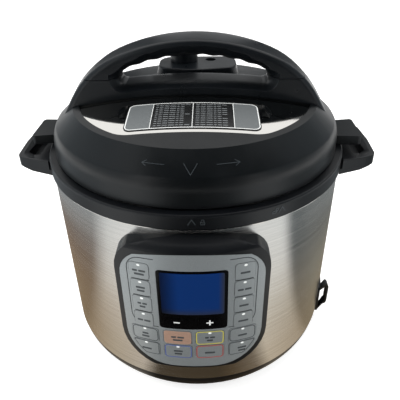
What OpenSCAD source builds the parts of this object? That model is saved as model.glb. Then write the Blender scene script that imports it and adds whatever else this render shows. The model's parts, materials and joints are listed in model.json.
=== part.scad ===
// Electric pressure cooker, millimetres.
// Z = 0 is the plane that the feet stand on, the pot's axis is the Z axis, and the
// control panel faces -Y.  Every piece is drawn where it sits with the lid locked.

/* [Casing] */
// Height of the rubber feet
foot_h = 6; // [4:0.5:10]
// Radius of one rubber foot
foot_r = 13; // [9:1:16]
// Distance of each foot's middle inside the wrap
foot_inset = 37; // [34:1:50]
// Height of the moulded base skirt
skirt_h = 19; // [16:1:26]
// How far the skirt curves in from the casing at its bottom edge
skirt_tuck = 8; // [4:1:14]
// Wall of the base skirt
skirt_t = 2.6; // [2:0.1:3.5]
// Room between the pot's inner wall and the outside of the steel wrap
wrap_room = 27; // [26.6:0.2:34]
// How much taller the steel wrap is than the pot, for the works under it
works_h = 15; // [13:0.5:26]
// Thickness of the steel wrap
wrap_t = 0.8; // [0.6:0.1:1.5]
// Thickness of the stamped bottom plate
bottom_t = 1.2; // [0.8:0.1:2]
// Radius of a casing screw's head
screw_head_r = 3.6; // [2.5:0.1:3.8]

/* [Collar and side handles] */
// Height of the collar above the steel wrap
collar_h = 12; // [10:0.5:16]
// How far the collar stands out beyond the wrap
collar_lip = 2; // [1:0.5:4]
// Reach of a side handle beyond the collar
grip_reach = 28; // [22:1:36]
// Length of a side handle along its root
grip_root_w = 84; // [76:1:92]
// Length of a side handle at its tip
grip_tip_w = 70; // [60:1:76]
// Height of a side handle
grip_h = 14.5; // [12:0.5:18]
// How far a side handle's top lies below the collar's top
grip_drop = 4; // [2:0.5:6]
// Wall round the scooped top of a side handle
grip_wall = 4; // [3:0.5:6]
// Depth of the scoop in a side handle's top
grip_scoop_d = 5; // [4:0.5:8]
// Floor under the lid stand slot
grip_floor_t = 2.5; // [2:0.5:4]
// Length of the lid stand slot in a side handle
stand_slot_w = 39; // [37:0.5:44]
// Width of the lid stand slot in a side handle
stand_slot_d = 10; // [9:0.5:12]

/* [Pot and well] */
// Inner radius of the cooking pot, which the whole body is built round
pot_r = 108; // [98:0.5:120]
// Height of the cooking pot, which the whole body is built round
pot_h = 157; // [138:1:176]
// Wall of the cooking pot
pot_t = 1; // [0.8:0.1:1.5]
// Bottom corner radius of the cooking pot
pot_corner = 14; // [8:1:20]
// Width of the cooking pot's turned-out rim
pot_rim_w = 6.5; // [5:0.5:7.5]
// Gap all round between the pot and its well
well_gap = 2.5; // [2:0.1:3]
// Wall of the well
well_t = 1.2; // [1:0.1:1.5]
// Width of the flange round the top of the well
well_flange_w = 6.7; // [6:0.1:7.2]
// Thickness of the well's flange
well_flange_t = 5; // [4.5:0.5:6]
// How far the locking tabs reach out from the well's flange
tab_reach = 3; // [2:0.1:3.4]
// Thickness of a locking tab
tab_t = 3; // [2:0.5:3]
// Angle that one locking tab spans
tab_angle = 28; // [20:1:29]
// How far the heating plate stands in from the pot's inner wall
plate_inset = 16; // [10:1:26]
// Thickness of the heating plate
plate_t = 12; // [10:1:14]
// Radius of the heating element's tube
element_r = 4; // [3:0.5:5]
// Radius of the temperature sensor's head
sensor_r = 14; // [10:1:18]
// Travel of the temperature sensor
sensor_travel = 3; // [2:0.5:4]

/* [Lid] */
// How far the lid's side wall stands in from the wrap's radius
lid_inset = 4.8; // [4.2:0.1:5.2]
// Height of the lid's side wall
lid_wall_h = 24.8; // [23:0.2:32]
// Height over which the top of the side wall curves in
lid_curve_h = 12.8; // [8:0.2:13]
// How far the side wall curves in at the ridge
ridge_inset = 4.2; // [2:0.1:5]
// Height of the slope above the ridge
lid_slope_h = 14.2; // [10:0.2:17]
// Width of the slope, from the ridge in to the crest
slope_w = 16.3; // [14:0.1:17]
// Radius of the ball that the lid's top is a cap of
crown_ball_r = 530; // [450:10:650]
// Thickness of the lid cover's side wall
cover_t = 2.6; // [2:0.1:2.6]
// Thickness of the lid cover's top skin, which is the depth of the window
skin_t = 1.6; // [1.2:0.1:2.4]
// Width of the cover's rim between the crest and the window's curved edge
window_rim = 5.7; // [5.2:0.1:8]
// How far the window's straight edge cuts in from its curved edge
window_cut = 15.5; // [12:0.5:22]
// Corner radius of the window
window_corner = 25; // [12:1:30]
// Reach of a lid fin beyond the lid's side wall
fin_reach = 19.8; // [14:0.2:21]
// Length of a lid fin round the lid
fin_w = 36; // [28:1:37]
// Height of a lid fin
fin_h = 8.5; // [6:0.5:9]
// Thickness of the steel inner lid
dome_t = 1.2; // [0.8:0.1:1.5]
// How far the lid's locking teeth reach in
tooth_reach = 2.5; // [2:0.1:3]
// Thickness of a locking tooth
tooth_t = 2; // [1.5:0.1:2.2]
// Thickness of the sealing ring
seal_w = 9.5; // [8:0.5:10]
// Wire radius of the sealing ring's rack
rack_wire_r = 1.3; // [1:0.1:1.6]

/* [Lid handle] */
// How far the handle's feet reach over the lid's crest
foot_reach = 1.6; // [0:0.1:2]
// Height of the handle above the lid's crest
handle_h = 54.8; // [53:0.2:60]
// How far the handle's long arch falls from its middle to the handle's ends
arch_fall = 40.25; // [36:0.25:41.5]
// Radius of the handle's shoulders
shoulder_r = 87; // [76:1:88]
// Slope of the handle's ends
leg_angle = 59; // [56:1:60]
// Thickness of the grip at its middle
grip_t = 14.4; // [13:0.2:17]
// Width of a handle leg at the height of the hand opening
leg_w = 39; // [37:0.5:46]
// Height of the saddle under the hand opening above the crest
saddle_h = 19; // [16:0.5:20]
// Depth of the handle, front to back, at the lid
handle_front = 25; // [20:0.5:28]
// Distance of the handle's back face behind the axis, at the lid
handle_back = 22; // [18:0.5:23]
// How far the handle's front and back faces lean in at the top
handle_lean = 4.5; // [2:0.5:7]
// Height of the finger waves under the grip
wave_h = 0.5; // [0.3:0.1:0.9]
// Rounding of the handle's long edges
handle_edge_r = 5; // [3:0.5:7]
// How far the hand opening flares at the handle's faces
opening_flare = 7; // [4:0.5:8]
// How far the handle's split lies under the ends of the hand opening's arch
split_drop = 0.1; // [0:0.1:1.5]
// Height of the open seam between the handle's halves
handle_seam = 0.5; // [0.3:0.1:0.8]

/* [Valves] */
// Height of the valve platform above the crest
platform_h = 17.5; // [15:0.5:19]
// Radius of the steam release knob's stem
knob_r = 13.5; // [11:0.5:14]
// Height of the knob's stem
knob_stem_h = 10; // [8:0.5:14]
// Height of the knob's head
knob_head_h = 11; // [8:0.5:12]
// Length of the knob's pointer from its axis
knob_nose = 34; // [26:1:38]
// Radius of the steam pipe
pipe_r = 4.5; // [3.5:0.1:5.5]
// Bore of the steam pipe
pipe_bore_r = 1.6; // [1:0.1:2.4]
// Radius of the float valve's pin
float_r = 3.9; // [3:0.1:4.2]
// Travel of the float valve
float_travel = 6; // [4:0.5:7]
// Radius of the hole that the float valve rises in
float_hole_r = 5.2; // [4.8:0.1:6]

/* [Control panel] */
// How far the control panel stands out from the wrap
panel_out = 14; // [12:0.5:18]
// Width of the control panel
panel_w = 125; // [119:1:132]
// How far the control panel's top lies below the collar
panel_drop = 5; // [3:0.5:8]
// Height of the control panel
panel_h = 135.5; // [132:0.5:138]
// Height of the sloping brow over the control face
brow_h = 8.5; // [6:0.5:12]
// Width of the silver control face
face_w = 116; // [114:0.5:118]
// Height of the silver control face
face_h = 122.5; // [120:0.5:123]
// Depth of the recess that the control face lies in
face_t = 1.2; // [0.8:0.1:2]
// Width of the display window
display_w = 55; // [50:0.5:56]
// Height of the display window
display_h = 46.5; // [42:0.5:47]
// Height of the black strip under the display
strip_h = 15; // [13:0.5:15]
// Width of a side column's programme key
key_w = 16; // [14:0.5:17]
// How much wider the keys of the two low rows are
low_key_extra = 7.4; // [5:0.1:7.6]
// Height of a programme key
key_h = 15.4; // [13:0.2:15.6]
// Pitch of the programme keys
key_pitch = 17.1; // [16.9:0.1:17.3]
// Travel of a key
key_travel = 0.6; // [0.4:0.1:1]
// Gap round each key
key_gap = 0.35; // [0.3:0.05:0.5]

/* [Back and side fittings] */
// Outer width of the condensation cup
cup_w = 62; // [50:1:70]
// Height of the condensation cup
cup_h = 46; // [36:1:56]
// Wall of the condensation cup
cup_t = 1.6; // [1.2:0.1:2.2]
// How far the condensation cup's rim lies below the collar
cup_drop = 21; // [14:1:40]
// Width of the mains inlet's bezel
inlet_w = 74; // [66:1:84]
// Height of the mains inlet's bezel
inlet_h = 34; // [30:1:38]
// Width of the mains inlet's recess
socket_w = 24; // [22:0.5:27]
// Height of the mains inlet's recess
socket_h = 16.5; // [15:0.5:19]
// Reach of each guard loop beyond the casing
loop_reach = 10; // [8:0.5:14]
// Width of each guard loop's strap
loop_w = 8; // [6:0.5:10]
// Thickness of each guard loop's strap
loop_t = 3.4; // [2.6:0.1:4]

/* [Hidden] */
$fn = 96;
arc_steps = 8;
slack = 0.3;          // gap between pieces that move past each other
run_gap = 0.08;       // radial gap of a shaft in its bore
seat_gap = 0.1;       // gap between pieces of one assembly that only lie together
bayonet_gap = 0.4;    // radial gap between the lid's teeth and the well's tabs
lid_gap = 1;          // gap between the collar and the lid's side wall
far = 400;

// Heights and radii of the casing
wrap_r = pot_r + wrap_room;
wrap_h = pot_h + works_h;
foot_ring_r = wrap_r - foot_inset;
wrap_z0 = foot_h + skirt_h;
wrap_z1 = wrap_z0 + wrap_h;
collar_z1 = wrap_z1 + collar_h;
lid_z0 = collar_z1 + lid_gap;
ridge_z = lid_z0 + lid_wall_h;
crest_z = ridge_z + lid_slope_h;
bottom_z = foot_h + 1.2;
floor_r = foot_ring_r - foot_r - 3;      // inner edge of the skirt's floor
plate_seat_r = floor_r + 7;              // recess in the floor for the bottom plate
screw_ring_r = floor_r + 3;
screw_shaft_r = 1.8;
louvre_r = floor_r - 12;                 // outermost row of the bottom plate's louvres
sheet_t = 0.5;                           // the plate in the lid's window, and its gaps to the
sheet_front = 6.5;                       // window's front and to the handle
sheet_back = 22;
rail_h = 14;                             // the condensation cup's rails, and how far in they stand
rail_in = 14;
louvre_in_r = 33;                        // innermost row that still leaves bars between its louvres

// Well and pot
well_top_z = collar_z1 - 3;
plate_r = pot_r - plate_inset;
pot_out_r = pot_r + pot_t;
well_in_r = pot_out_r + well_gap;
well_out_r = well_in_r + well_t;
flange_r = well_out_r + well_flange_w;
tab_r = flange_r + tab_reach;
rim_r = pot_out_r + pot_rim_w;
rim_z = well_top_z + 0.8 + pot_t;
pot_z0 = rim_z - pot_h;
plate_z1 = pot_z0 - slack;
plate_z0 = plate_z1 - plate_t;
well_z0 = plate_z0 - 4;
terminal_h = 14;       // reach of the heating element's ends below its ring
terminal_r = element_r - 0.8;
sensor_head_t = 2.5;
sensor_stem_r = 7;
seat_t = 1.2;          // ledge in the heating plate's bore that the sensor's spring stands on
tab_count = 6;
tab_z0 = well_top_z - well_flange_t + 0.6;

// Collar
collar_r = wrap_r + collar_lip;
skirt_in_r = tab_r + bayonet_gap + tooth_reach;
skirt_out_r = skirt_in_r + dome_t;
channel_r = skirt_out_r + 1.4;
channel_z = wrap_z1 - 1.5;
channel_t = 2.5;
grip_z1 = collar_z1 - grip_drop;
grip_z0 = grip_z1 - grip_h;
grip_tip_x = collar_r + grip_reach;

// Lid
lid_r = wrap_r - lid_inset;
lid_in_r = lid_r - cover_t;
ridge_r = lid_r - ridge_inset;
crest_r = ridge_r - slope_w;
window_r = crest_r - window_rim;
window_front = window_r - window_cut;
fin_turn = 1.5;        // the fins lag the side handles by this angle when the lid is locked
crown_z = crest_z - sqrt(crown_ball_r ^ 2 - crest_r ^ 2);
dome_ball_r = crown_ball_r - skin_t;
dome_under_r = dome_ball_r - dome_t;
throat_r = window_r + 2.6;
shoulder_z = lid_z0 + 9.5;
skirt_z0 = tab_z0 - 1 - tooth_t;
seal_out_r = throat_r + 10.4;
seal_in_r = seal_out_r - seal_w;
seal_z0 = rim_z + slack;
seal_z1 = shoulder_z - dome_t - slack;

// Handle
handle_half = crest_r + foot_reach;
opening_half = handle_half - leg_w;
handle_z1 = crest_z + handle_h;
arch_r = (handle_half ^ 2 + arch_fall ^ 2) / (2 * arch_fall);
grip_r = arch_r - grip_t;                // the hand opening's arch
handle_split_z = handle_z1 - arch_r + sqrt(grip_r ^ 2 - opening_half ^ 2) - split_drop;
saddle_z = crest_z + saddle_h;
handle_crown = 1.2;
opening_lift = 1.5;    // rise of the grip's underside per millimetre of flare
opening_bow = 6;       // how much tighter its arc grows per millimetre of flare
hole_reach = 12;       // reach of the handle's screws above the crest
handle_screw_places = [for (x = [-1, 1]) for (y = [-1, 1]) [x * (opening_half + 16), y * 10]];

// Valves: centres of the knob and the float, and the platform round them
knob_x = -12;
knob_y = 57;
float_x = 14.5;
float_y = 59;
platform_x0 = knob_x - knob_r - 11;
platform_x1 = float_x + float_hole_r + 20;
platform_y0 = handle_back + 2;
platform_y1 = knob_y + knob_r + 1;
platform_z1 = crest_z + platform_h;
knob_z0 = platform_z1 + slack;
knob_z1 = knob_z0 + knob_stem_h + knob_head_h;
pipe_z1 = knob_z1 - 4;
float_under_z = ball_z(dome_under_r, norm([float_x, float_y]));
knob_under_z = ball_z(dome_under_r, norm([knob_x, knob_y]));
shield_z1 = knob_under_z - 6.1;          // top of the anti-block shield, under the pipe's nut

// Control panel, with places on the face as [arc length, height]
panel_r = wrap_r + panel_out;
panel_z1 = wrap_z1 - panel_drop;
panel_z0 = panel_z1 - panel_h;
face_z0 = panel_z0 + 4;
face_z1 = face_z0 + face_h;
face_r = panel_r - face_t;
display_z1 = face_z1 - 15.5;
display_z0 = display_z1 - display_h;
strip_z0 = display_z0 - strip_h;
column_u = 41;
top_key_z = display_z1 - 3.5;
low_pitch = key_pitch - 0.3;
low_row_z = top_key_z - 3 * key_pitch - low_pitch;
key_margin = 2.2;      // silver face left outside the outermost keys
centre_u = 13.4;
led_rise = 5.8;        // distance of a key's lamp above its middle
led_r = 0.8;
bezel_wall = 3;        // wall of the bezel behind the face
board_t = 1.6;
board_half = column_u + 4.5;
board_gap = 0.5;       // gap between the board's edges and the bezel's wall
board_y = board_gap - sqrt((face_r - bezel_wall) ^ 2 - board_half ^ 2);
key_rise = 0.3;

// Fittings
cup_y1 = panel_r + key_rise;
cup_y0 = wrap_r + 3;
cup_z1 = wrap_z1 - cup_drop;
rail_z = cup_z1 - rail_h;
cup_z0 = cup_z1 - cup_h;
inlet_z0 = 11;
inlet_r = wrap_r + 2.4;
loop_y = inlet_w / 2 - loop_w / 2 - 3;
socket_floor = 3;
socket_room = 1.3;     // gap between the socket and the well
socket_depth = wrap_r - well_out_r - socket_floor - socket_room;
socket_wall = 2.5;
socket_z = inlet_z0 + inlet_h / 2;
pin_places = [[-7, -2], [7, -2], [0, 2.5]];

// Power board, inside the skirt's floor
power_w = floor_r;
power_d = floor_r * 0.55;
power_y = -floor_r * 0.88;
power_post_h = 4;
power_part_h = 12;

// A key is [name, arc length, height above the feet, width, its own height]
side_keys = [for (side = [-1, 1]) for (i = [0:3])
    [str(side < 0 ? "key_left_" : "key_right_", i + 1), side * column_u, top_key_z - i * key_pitch, key_w, key_h]];
low_keys = [for (side = [-1, 1]) for (i = [0:1])
    [str(side < 0 ? "key_left_" : "key_right_", i + 5), side * column_u, low_row_z - i * low_pitch, key_w + low_key_extra, key_h]];
centre_keys = [for (i = [0:3])
    [str("key_centre_", i + 1), (i % 2 == 0 ? -1 : 1) * centre_u, low_row_z - floor(i / 2) * low_pitch, key_w + low_key_extra, key_h]];
step_keys = [["key_minus", -centre_u, strip_z0 + strip_h / 2, 18, 9], ["key_plus", centre_u, strip_z0 + strip_h / 2, 18, 9]];
face_keys = concat(side_keys, low_keys, centre_keys);
KEYS = concat(face_keys, step_keys);
lit_keys = concat(side_keys, low_keys, [centre_keys[1], centre_keys[2]]);

// ---------- helpers ----------

function ball_z(ball_r, r) = crown_z + sqrt(ball_r ^ 2 - r ^ 2);
function unit(v) = v / norm(v);
function angle_of(v) = atan2(v[1], v[0]);
function turn_to(a, b) = (b - a + 540) % 360 - 180;

// Points of the fillet of radius r at corner b between a and c
function corner_arc(a, b, c, r) =
    let (
        u = unit(a - b),
        v = unit(c - b),
        half = acos(u * v) / 2,
        centre = b + unit(u + v) * r / sin(half),
        a0 = angle_of(b + u * r / tan(half) - centre),
        a1 = angle_of(b + v * r / tan(half) - centre)
    )
    [for (i = [0:arc_steps]) centre + r * [cos(a0 + turn_to(a0, a1) * i / arc_steps), sin(a0 + turn_to(a0, a1) * i / arc_steps)]];

// A closed outline through [x, y, corner radius] corners; radius 0 keeps a corner sharp
function rounded(corners) =
    let (n = len(corners), p = [for (c = corners) [c[0], c[1]]])
    [for (i = [0:n - 1])
        each corners[i][2] > 0 ? corner_arc(p[(i + n - 1) % n], p[i], p[(i + 1) % n], corners[i][2]) : [p[i]]];

// Points of an arc about c, from angle a0 to a1
function arc(c, r, a0, a1, n) = [for (i = [0:n]) c + r * [cos(a0 + (a1 - a0) * i / n), sin(a0 + (a1 - a0) * i / n)]];

// The cap of a ball about the lid's crown centre, from radius r0 out to r1, as [radius, height]
function cap(ball_r, r0, r1, n = 16) = [for (i = [0:n]) let (r = r0 + (r1 - r0) * i / n) [r, ball_z(ball_r, r)]];

function mirror_x(points) = [for (i = [len(points) - 1:-1:0]) [-points[i][0], points[i][1]]];

module box_outline(w, h, r) {
    polygon(rounded([[-w / 2, -h / 2, r], [w / 2, -h / 2, r], [w / 2, h / 2, r], [-w / 2, h / 2, r]]));
}

// A solid lofted through closed loops of points, counterclockwise seen from the first loop's outside
module skin(loops) {
    n = len(loops[0]);
    m = len(loops);
    polyhedron(
        [for (one = loops) each one],
        concat(
            [[for (i = [n - 1:-1:0]) i]],
            [for (j = [0:m - 2]) for (i = [0:n - 1])
                [j * n + i, j * n + (i + 1) % n, (j + 1) * n + (i + 1) % n, (j + 1) * n + i]],
            [[for (i = [0:n - 1]) (m - 1) * n + i]]));
}

// A ring, with its lower face at z
module ring(r0, r1, z, h) {
    translate([0, 0, z])
        difference() {
            cylinder(r = r1, h = h);
            translate([0, 0, -1]) cylinder(r = r0, h = h + 2);
        }
}

// A solid drawn as an outline of [x, z] and pushed along Y
module along_y(y0, y1) {
    translate([0, y1, 0]) rotate([90, 0, 0]) linear_extrude(y1 - y0) children();
}

// A solid drawn as an outline of [y, z] and pushed along X
module along_x(x0, x1) {
    translate([x0, 0, 0]) rotate([90, 0, 90]) linear_extrude(x1 - x0) children();
}

// A block on the curved panel at arc length u and height z, between radii r0 and r1
module on_face(u, z, r0, r1) {
    rotate([0, 0, u / panel_r * 180 / PI])
        intersection() {
            translate([0, 0, z]) along_y(-r1 - 1, -r0 + 8) children();
            ring(r0, r1, z - 60, 120);
        }
}

// ---------- casing ----------

module foot_pads() {
    color("#1c1c1e")
        for (a = [45:90:315])
            rotate([0, 0, a]) translate([foot_ring_r, 0, 0]) {
                cylinder(r1 = foot_r - 1.5, r2 = foot_r, h = 1.5);
                translate([0, 0, 1.5]) cylinder(r = foot_r, h = foot_h - 1.5);
            }
}

function skirt_line(inset) =
    let (r1 = wrap_r - 0.4 - inset, r0 = wrap_r - skirt_tuck - inset)
    [for (i = [0:10]) let (t = i / 10) [r0 + (r1 - r0) * sin(90 * t), foot_h + skirt_h * t]];

module base_skirt() {
    outer = skirt_line(0);
    inner = skirt_line(skirt_t);
    color("#202022")
        difference() {
            rotate_extrude()
                polygon(concat([[floor_r, foot_h]], outer, [for (i = [10:-1:2]) inner[i]],
                    [[floor_r, inner[2][1]]]));
            translate([0, 0, foot_h - 1]) cylinder(r = plate_seat_r, h = 1 + bottom_z + bottom_t - foot_h + seat_gap);
            for (a = [0:90:270])
                rotate([0, 0, a]) translate([screw_ring_r, 0, foot_h]) cylinder(r = screw_shaft_r + seat_gap, h = 8, $fn = 32);
            socket_sleeve(seat_gap);
            for (a = [0:60:300])
                rotate([0, 0, a]) translate([foot_ring_r - 8, -14, foot_h - 1]) cube([4, 28, skirt_h]);
        }
}

module bottom_plate() {
    color("#9a9b9d")
        difference() {
            translate([0, 0, bottom_z]) cylinder(r = plate_seat_r - seat_gap, h = bottom_t);
            for (a = [0:30:330])
                for (r = [louvre_r:-12:louvre_in_r])
                    rotate([0, 0, a]) translate([r, -5 - r / 14, bottom_z - 1]) cube([4, 10 + r / 7, bottom_t + 2]);
            for (a = [0:90:270])
                rotate([0, 0, a]) translate([screw_ring_r, 0, bottom_z - 1]) cylinder(r = screw_shaft_r + seat_gap, h = bottom_t + 2, $fn = 32);
        }
}

module bottom_screws() {
    color("#c9c9c6")
        for (a = [0:90:270])
            rotate([0, 0, a]) translate([screw_ring_r, 0, 0])
                difference() {
                    union() {
                        translate([0, 0, bottom_z - 1.1]) cylinder(r = screw_head_r, h = 1.1, $fn = 32);
                        translate([0, 0, bottom_z - 1]) cylinder(r = screw_shaft_r, h = bottom_t + 6, $fn = 32);
                    }
                    translate([-2.4, -0.4, bottom_z - 2]) cube([4.8, 0.8, 1.6]);
                    translate([-0.4, -2.4, bottom_z - 2]) cube([0.8, 4.8, 1.6]);
                }
}

function panel_half() = panel_r * sin(panel_w / 2 / panel_r * 180 / PI);

module panel_outline(inset) {
    w = panel_half() - inset;
    z0 = panel_z0 + inset;
    z1 = panel_z1 - inset;
    intersection() {
        polygon(rounded([[-w, z0, 40], [w, z0, 40], [w, z1, 30], [-w, z1, 30]]));
        translate([0, z1 - 190]) circle(r = 190, $fn = 180);
    }
}
module steel_wrap() {
    color("#c8c8c6")
        difference() {
            ring(wrap_r - wrap_t, wrap_r, wrap_z0, wrap_h);
            along_y(-wrap_r - 1, 0) panel_outline(9);
            along_x(0, wrap_r + 1)
                translate([0, socket_z]) box_outline(socket_w + 10, inlet_h - 8, 3);
        }
}

// ---------- collar and side handles ----------

module collar() {
    sleeve_r = well_out_r + seat_gap;
    neck_r = wrap_r - wrap_t - seat_gap;
    floor_z = channel_z - channel_t;
    color("#232325")
        rotate_extrude()
            polygon(concat(
                [[sleeve_r, floor_z], [neck_r, floor_z], [neck_r, wrap_z1], [collar_r, wrap_z1]],
                arc([collar_r - 2, collar_z1 - 2], 2, 0, 90, 6),
                arc([channel_r + 1.2, collar_z1 - 1.2], 1.2, 90, 180, 4),
                [[channel_r, channel_z], [sleeve_r + 3, channel_z], [sleeve_r + 3, well_top_z - well_flange_t],
                    [sleeve_r, well_top_z - well_flange_t]]));
}

function grip_plan(inset) =
    let (root = grip_root_w / 2 - inset, tip = grip_tip_w / 2 - inset * 0.5, x1 = grip_tip_x - inset)
    rounded([[wrap_r - 25, -root, 0], [x1 - 2, -tip, 12], [x1, 0, 60], [x1 - 2, tip, 12], [wrap_r - 25, root, 0]]);

module side_handle() {
    slot_x = grip_tip_x - grip_wall - 4 - stand_slot_d;
    difference() {
        union() {
            translate([0, 0, grip_z0 + 4]) linear_extrude(grip_h - 4) polygon(grip_plan(0));
            translate([0, 0, grip_z0 + 1.5]) linear_extrude(3) polygon(grip_plan(1.2));
            translate([0, 0, grip_z0]) linear_extrude(2) polygon(grip_plan(3));
        }
        hull() {
            translate([0, 0, grip_z1 - grip_scoop_d]) linear_extrude(0.1) polygon(grip_plan(grip_wall + 7));
            translate([0, 0, grip_z1]) linear_extrude(1) polygon(grip_plan(grip_wall));
        }
        translate([slot_x, -stand_slot_w / 2, grip_z0 + grip_floor_t]) cube([stand_slot_d, stand_slot_w, grip_h]);
        translate([0, 0, wrap_z1]) cylinder(r = collar_r, h = collar_h);
        translate([0, 0, grip_z0 - 1]) cylinder(r = wrap_r, h = far);
    }
}

module side_handle_left() {
    color("#232325") rotate([0, 0, 180]) side_handle();
}

module side_handle_right() {
    color("#232325") side_handle();
}

// ---------- well, heater and pot ----------

module tab_segment(r0, r1, z, h, span) {
    translate([0, 0, z])
        for (i = [0:tab_count - 1])
            rotate([0, 0, i * 360 / tab_count - span / 2])
                rotate_extrude(angle = span) translate([r0, 0]) square([r1 - r0, h]);
}

module well() {
    throat = plate_r - 8;
    color("#b9babb") {
        rotate_extrude()
            polygon([[throat, well_z0], [well_out_r, well_z0], [well_out_r, well_top_z - well_flange_t],
                [flange_r, well_top_z - well_flange_t], [flange_r, well_top_z - 1], [flange_r - 1, well_top_z],
                [well_in_r, well_top_z], [well_in_r, well_z0 + well_t], [throat, well_z0 + well_t]]);
        tab_segment(flange_r - 0.5, tab_r, tab_z0, tab_t, tab_angle);
    }
}

module heating_plate() {
    bore_r = sensor_r + 2;
    color("#a7a8aa")
        rotate_extrude()
            polygon([[sensor_stem_r + 1, plate_z0], [plate_r - 12, plate_z0], [plate_r - 10, well_z0 + well_t + seat_gap],
                [plate_r - 4, well_z0 + well_t + seat_gap], [plate_r, plate_z1 - 3], [plate_r - 3, plate_z1],
                [bore_r + 1, plate_z1], [bore_r, plate_z1 - 1], [bore_r, plate_z0 + seat_t],
                [sensor_stem_r + 1, plate_z0 + seat_t]]);
}

module heating_element() {
    ring_r = plate_r * 0.62;
    sweep = 320;
    tube_z = plate_z0 - element_r;
    color("#6d6a66") {
        rotate([0, 0, 110]) rotate_extrude(angle = sweep) translate([ring_r, tube_z]) circle(r = element_r, $fn = 24);
        for (a = [110, 110 + sweep])
            rotate([0, 0, a]) translate([ring_r, 0, tube_z - terminal_h]) cylinder(r = terminal_r, h = terminal_h + 1, $fn = 24);
    }
}

module temperature_sensor() {
    color("#c2c3c4") {
        translate([0, 0, plate_z1 - sensor_head_t]) cylinder(r = sensor_r, h = sensor_head_t);
        translate([0, 0, plate_z0 - sensor_travel - 1]) cylinder(r = sensor_stem_r, h = plate_t + sensor_travel - 1);
    }
}

module sensor_spring() {
    turns = 2.5;
    sides = 8;
    count = 32;
    wire_r = 0.6;
    coil_r = 10.5;
    z0 = plate_z0 + seat_t + wire_r;
    z1 = plate_z1 - sensor_head_t - wire_r;
    color("#8f9092")
        skin([for (i = [0:count])
            let (a = 360 * turns * i / count, z = z0 + (z1 - z0) * i / count)
            [for (j = [0:sides - 1])
                let (b = 360 * j / sides, r = coil_r + wire_r * cos(b))
                [r * cos(a), r * sin(a), z + wire_r * sin(b)]]]);
}

module cooking_pot() {
    rc = pot_corner;
    ri = pot_corner - pot_t;
    color("#d0d1d2")
        rotate_extrude()
            polygon(concat(
                [[0, pot_z0]],
                arc([pot_out_r - rc, pot_z0 + rc], rc, -90, 0, 10),
                [[pot_out_r, rim_z - pot_t], [rim_r - 1, rim_z - pot_t], [rim_r, rim_z - pot_t + 0.4], [rim_r - 0.6, rim_z],
                    [pot_r, rim_z]],
                arc([pot_r - ri, pot_z0 + pot_t + ri], ri, 0, -90, 10),
                [[0, pot_z0 + pot_t]]));
}

// ---------- control panel ----------

module brow_section() {
    skin = panel_r - 4;
    z1 = panel_z1;
    polygon([[wrap_r, panel_z0], [panel_r - 3, panel_z0], [panel_r, panel_z0 + 2.5], [panel_r, z1 - brow_h],
        [panel_r - 1.5, z1 - brow_h + 2.2], [skin - 1.5, z1 - brow_h + 4.4], [skin - 3.5, z1 - brow_h + 5.2],
        [wrap_r, z1 + 1]]);
}

module board_posts() {
    y0 = board_y - 4;
    for (side = [-1, 1])
        for (z = [top_key_z - key_pitch / 2, low_row_z - low_pitch / 2])
            translate([side * (column_u - 5.5), 0, z]) along_y(y0, board_y - seat_gap) circle(r = 2, $fn = 24);
}

module panel_bezel() {
    color("#1d1d1f") {
        board_posts();
        difference() {
            intersection() {
                rotate([0, 0, -90 - 40]) rotate_extrude(angle = 80) brow_section();
                along_y(-far / 2, -40) panel_outline(0);
            }
            intersection() {
                ring(face_r, panel_r + 5, face_z0 - 5, face_h + 20);
                along_y(-far / 2, -40) face_outline(-seat_gap);
            }
            intersection() {
                ring(wrap_r - 5, face_r - bezel_wall, panel_z0 - 5, panel_h + 20);
                along_y(-far / 2, -40) panel_outline(6);
            }
            on_face(0, (display_z1 + display_z0) / 2, face_r - 5, face_r + 1) box_outline(display_w - 4, display_h - 4, 2);
            for (k = KEYS)
                key_block(k, -3, face_r - 5, face_r + 1);
            for (k = lit_keys)
                led_block(k, led_r + seat_gap, face_r - 5, face_r + 1);
        }
    }
}

module face_outline(inset) {
    half = panel_r * sin(face_w / 2 / panel_r * 180 / PI) - inset;
    z0 = face_z0 + inset;
    z1 = face_z1 - inset;
    intersection() {
        polygon(rounded([[-half, z0, 37], [half, z0, 37], [half, z1, 26], [-half, z1, 26]]));
        translate([0, z1 - 250]) circle(r = 250, $fn = 180);
    }
}

module panel_face() {
    color("#a9abae")
        difference() {
            intersection() {
                ring(face_r, panel_r, face_z0 - 5, face_h + 20);
                along_y(-far / 2, -40) face_outline(0);
            }
            on_face(0, (display_z1 + strip_z0) / 2, face_r - 1, panel_r + 1)
                box_outline(display_w + 2 * seat_gap, display_z1 - strip_z0 + 2 * seat_gap, 3);
            for (k = face_keys)
                key_block(k, key_gap, face_r - 1, panel_r + 1);
        }
}

module display_window() {
    color("#0b1a3a")
        difference() {
            on_face(0, (display_z1 + strip_z0) / 2, face_r, panel_r)
                box_outline(display_w, display_z1 - strip_z0, 3);
            for (k = step_keys)
                key_block(k, key_gap, face_r - 1, panel_r + 1);
        }
}

module display_module() {
    color("#173a78")
        translate([0, 0, (display_z0 + display_z1) / 2])
            along_y(board_y - 6, board_y) box_outline(display_w - 5, display_h - 5, 1.5);
}

module control_board() {
    z1 = top_key_z - 3.5;
    z0 = low_row_z - low_pitch + 0.5;
    color("#2d5a34")
        translate([0, 0, (z0 + z1) / 2]) along_y(board_y, board_y + board_t) box_outline(2 * board_half, z1 - z0, 4);
}

module indicator_lenses() {
    color("#f4f6f2")
        for (k = lit_keys)
            led_block(k, led_r, face_r - bezel_wall - 1, panel_r + seat_gap);
}

// A key's outline grown by g, between radii r0 and r1; keys at the face's edge follow its outline
module key_block(k, g, r0, r1) {
    intersection() {
        on_face(k[1], k[2], r0, r1) box_outline(k[3] + 2 * g, k[4] + 2 * g, max(2.6 + g, 0.8));
        along_y(-far / 2, -40) face_outline(key_margin - g);
    }
}

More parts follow.
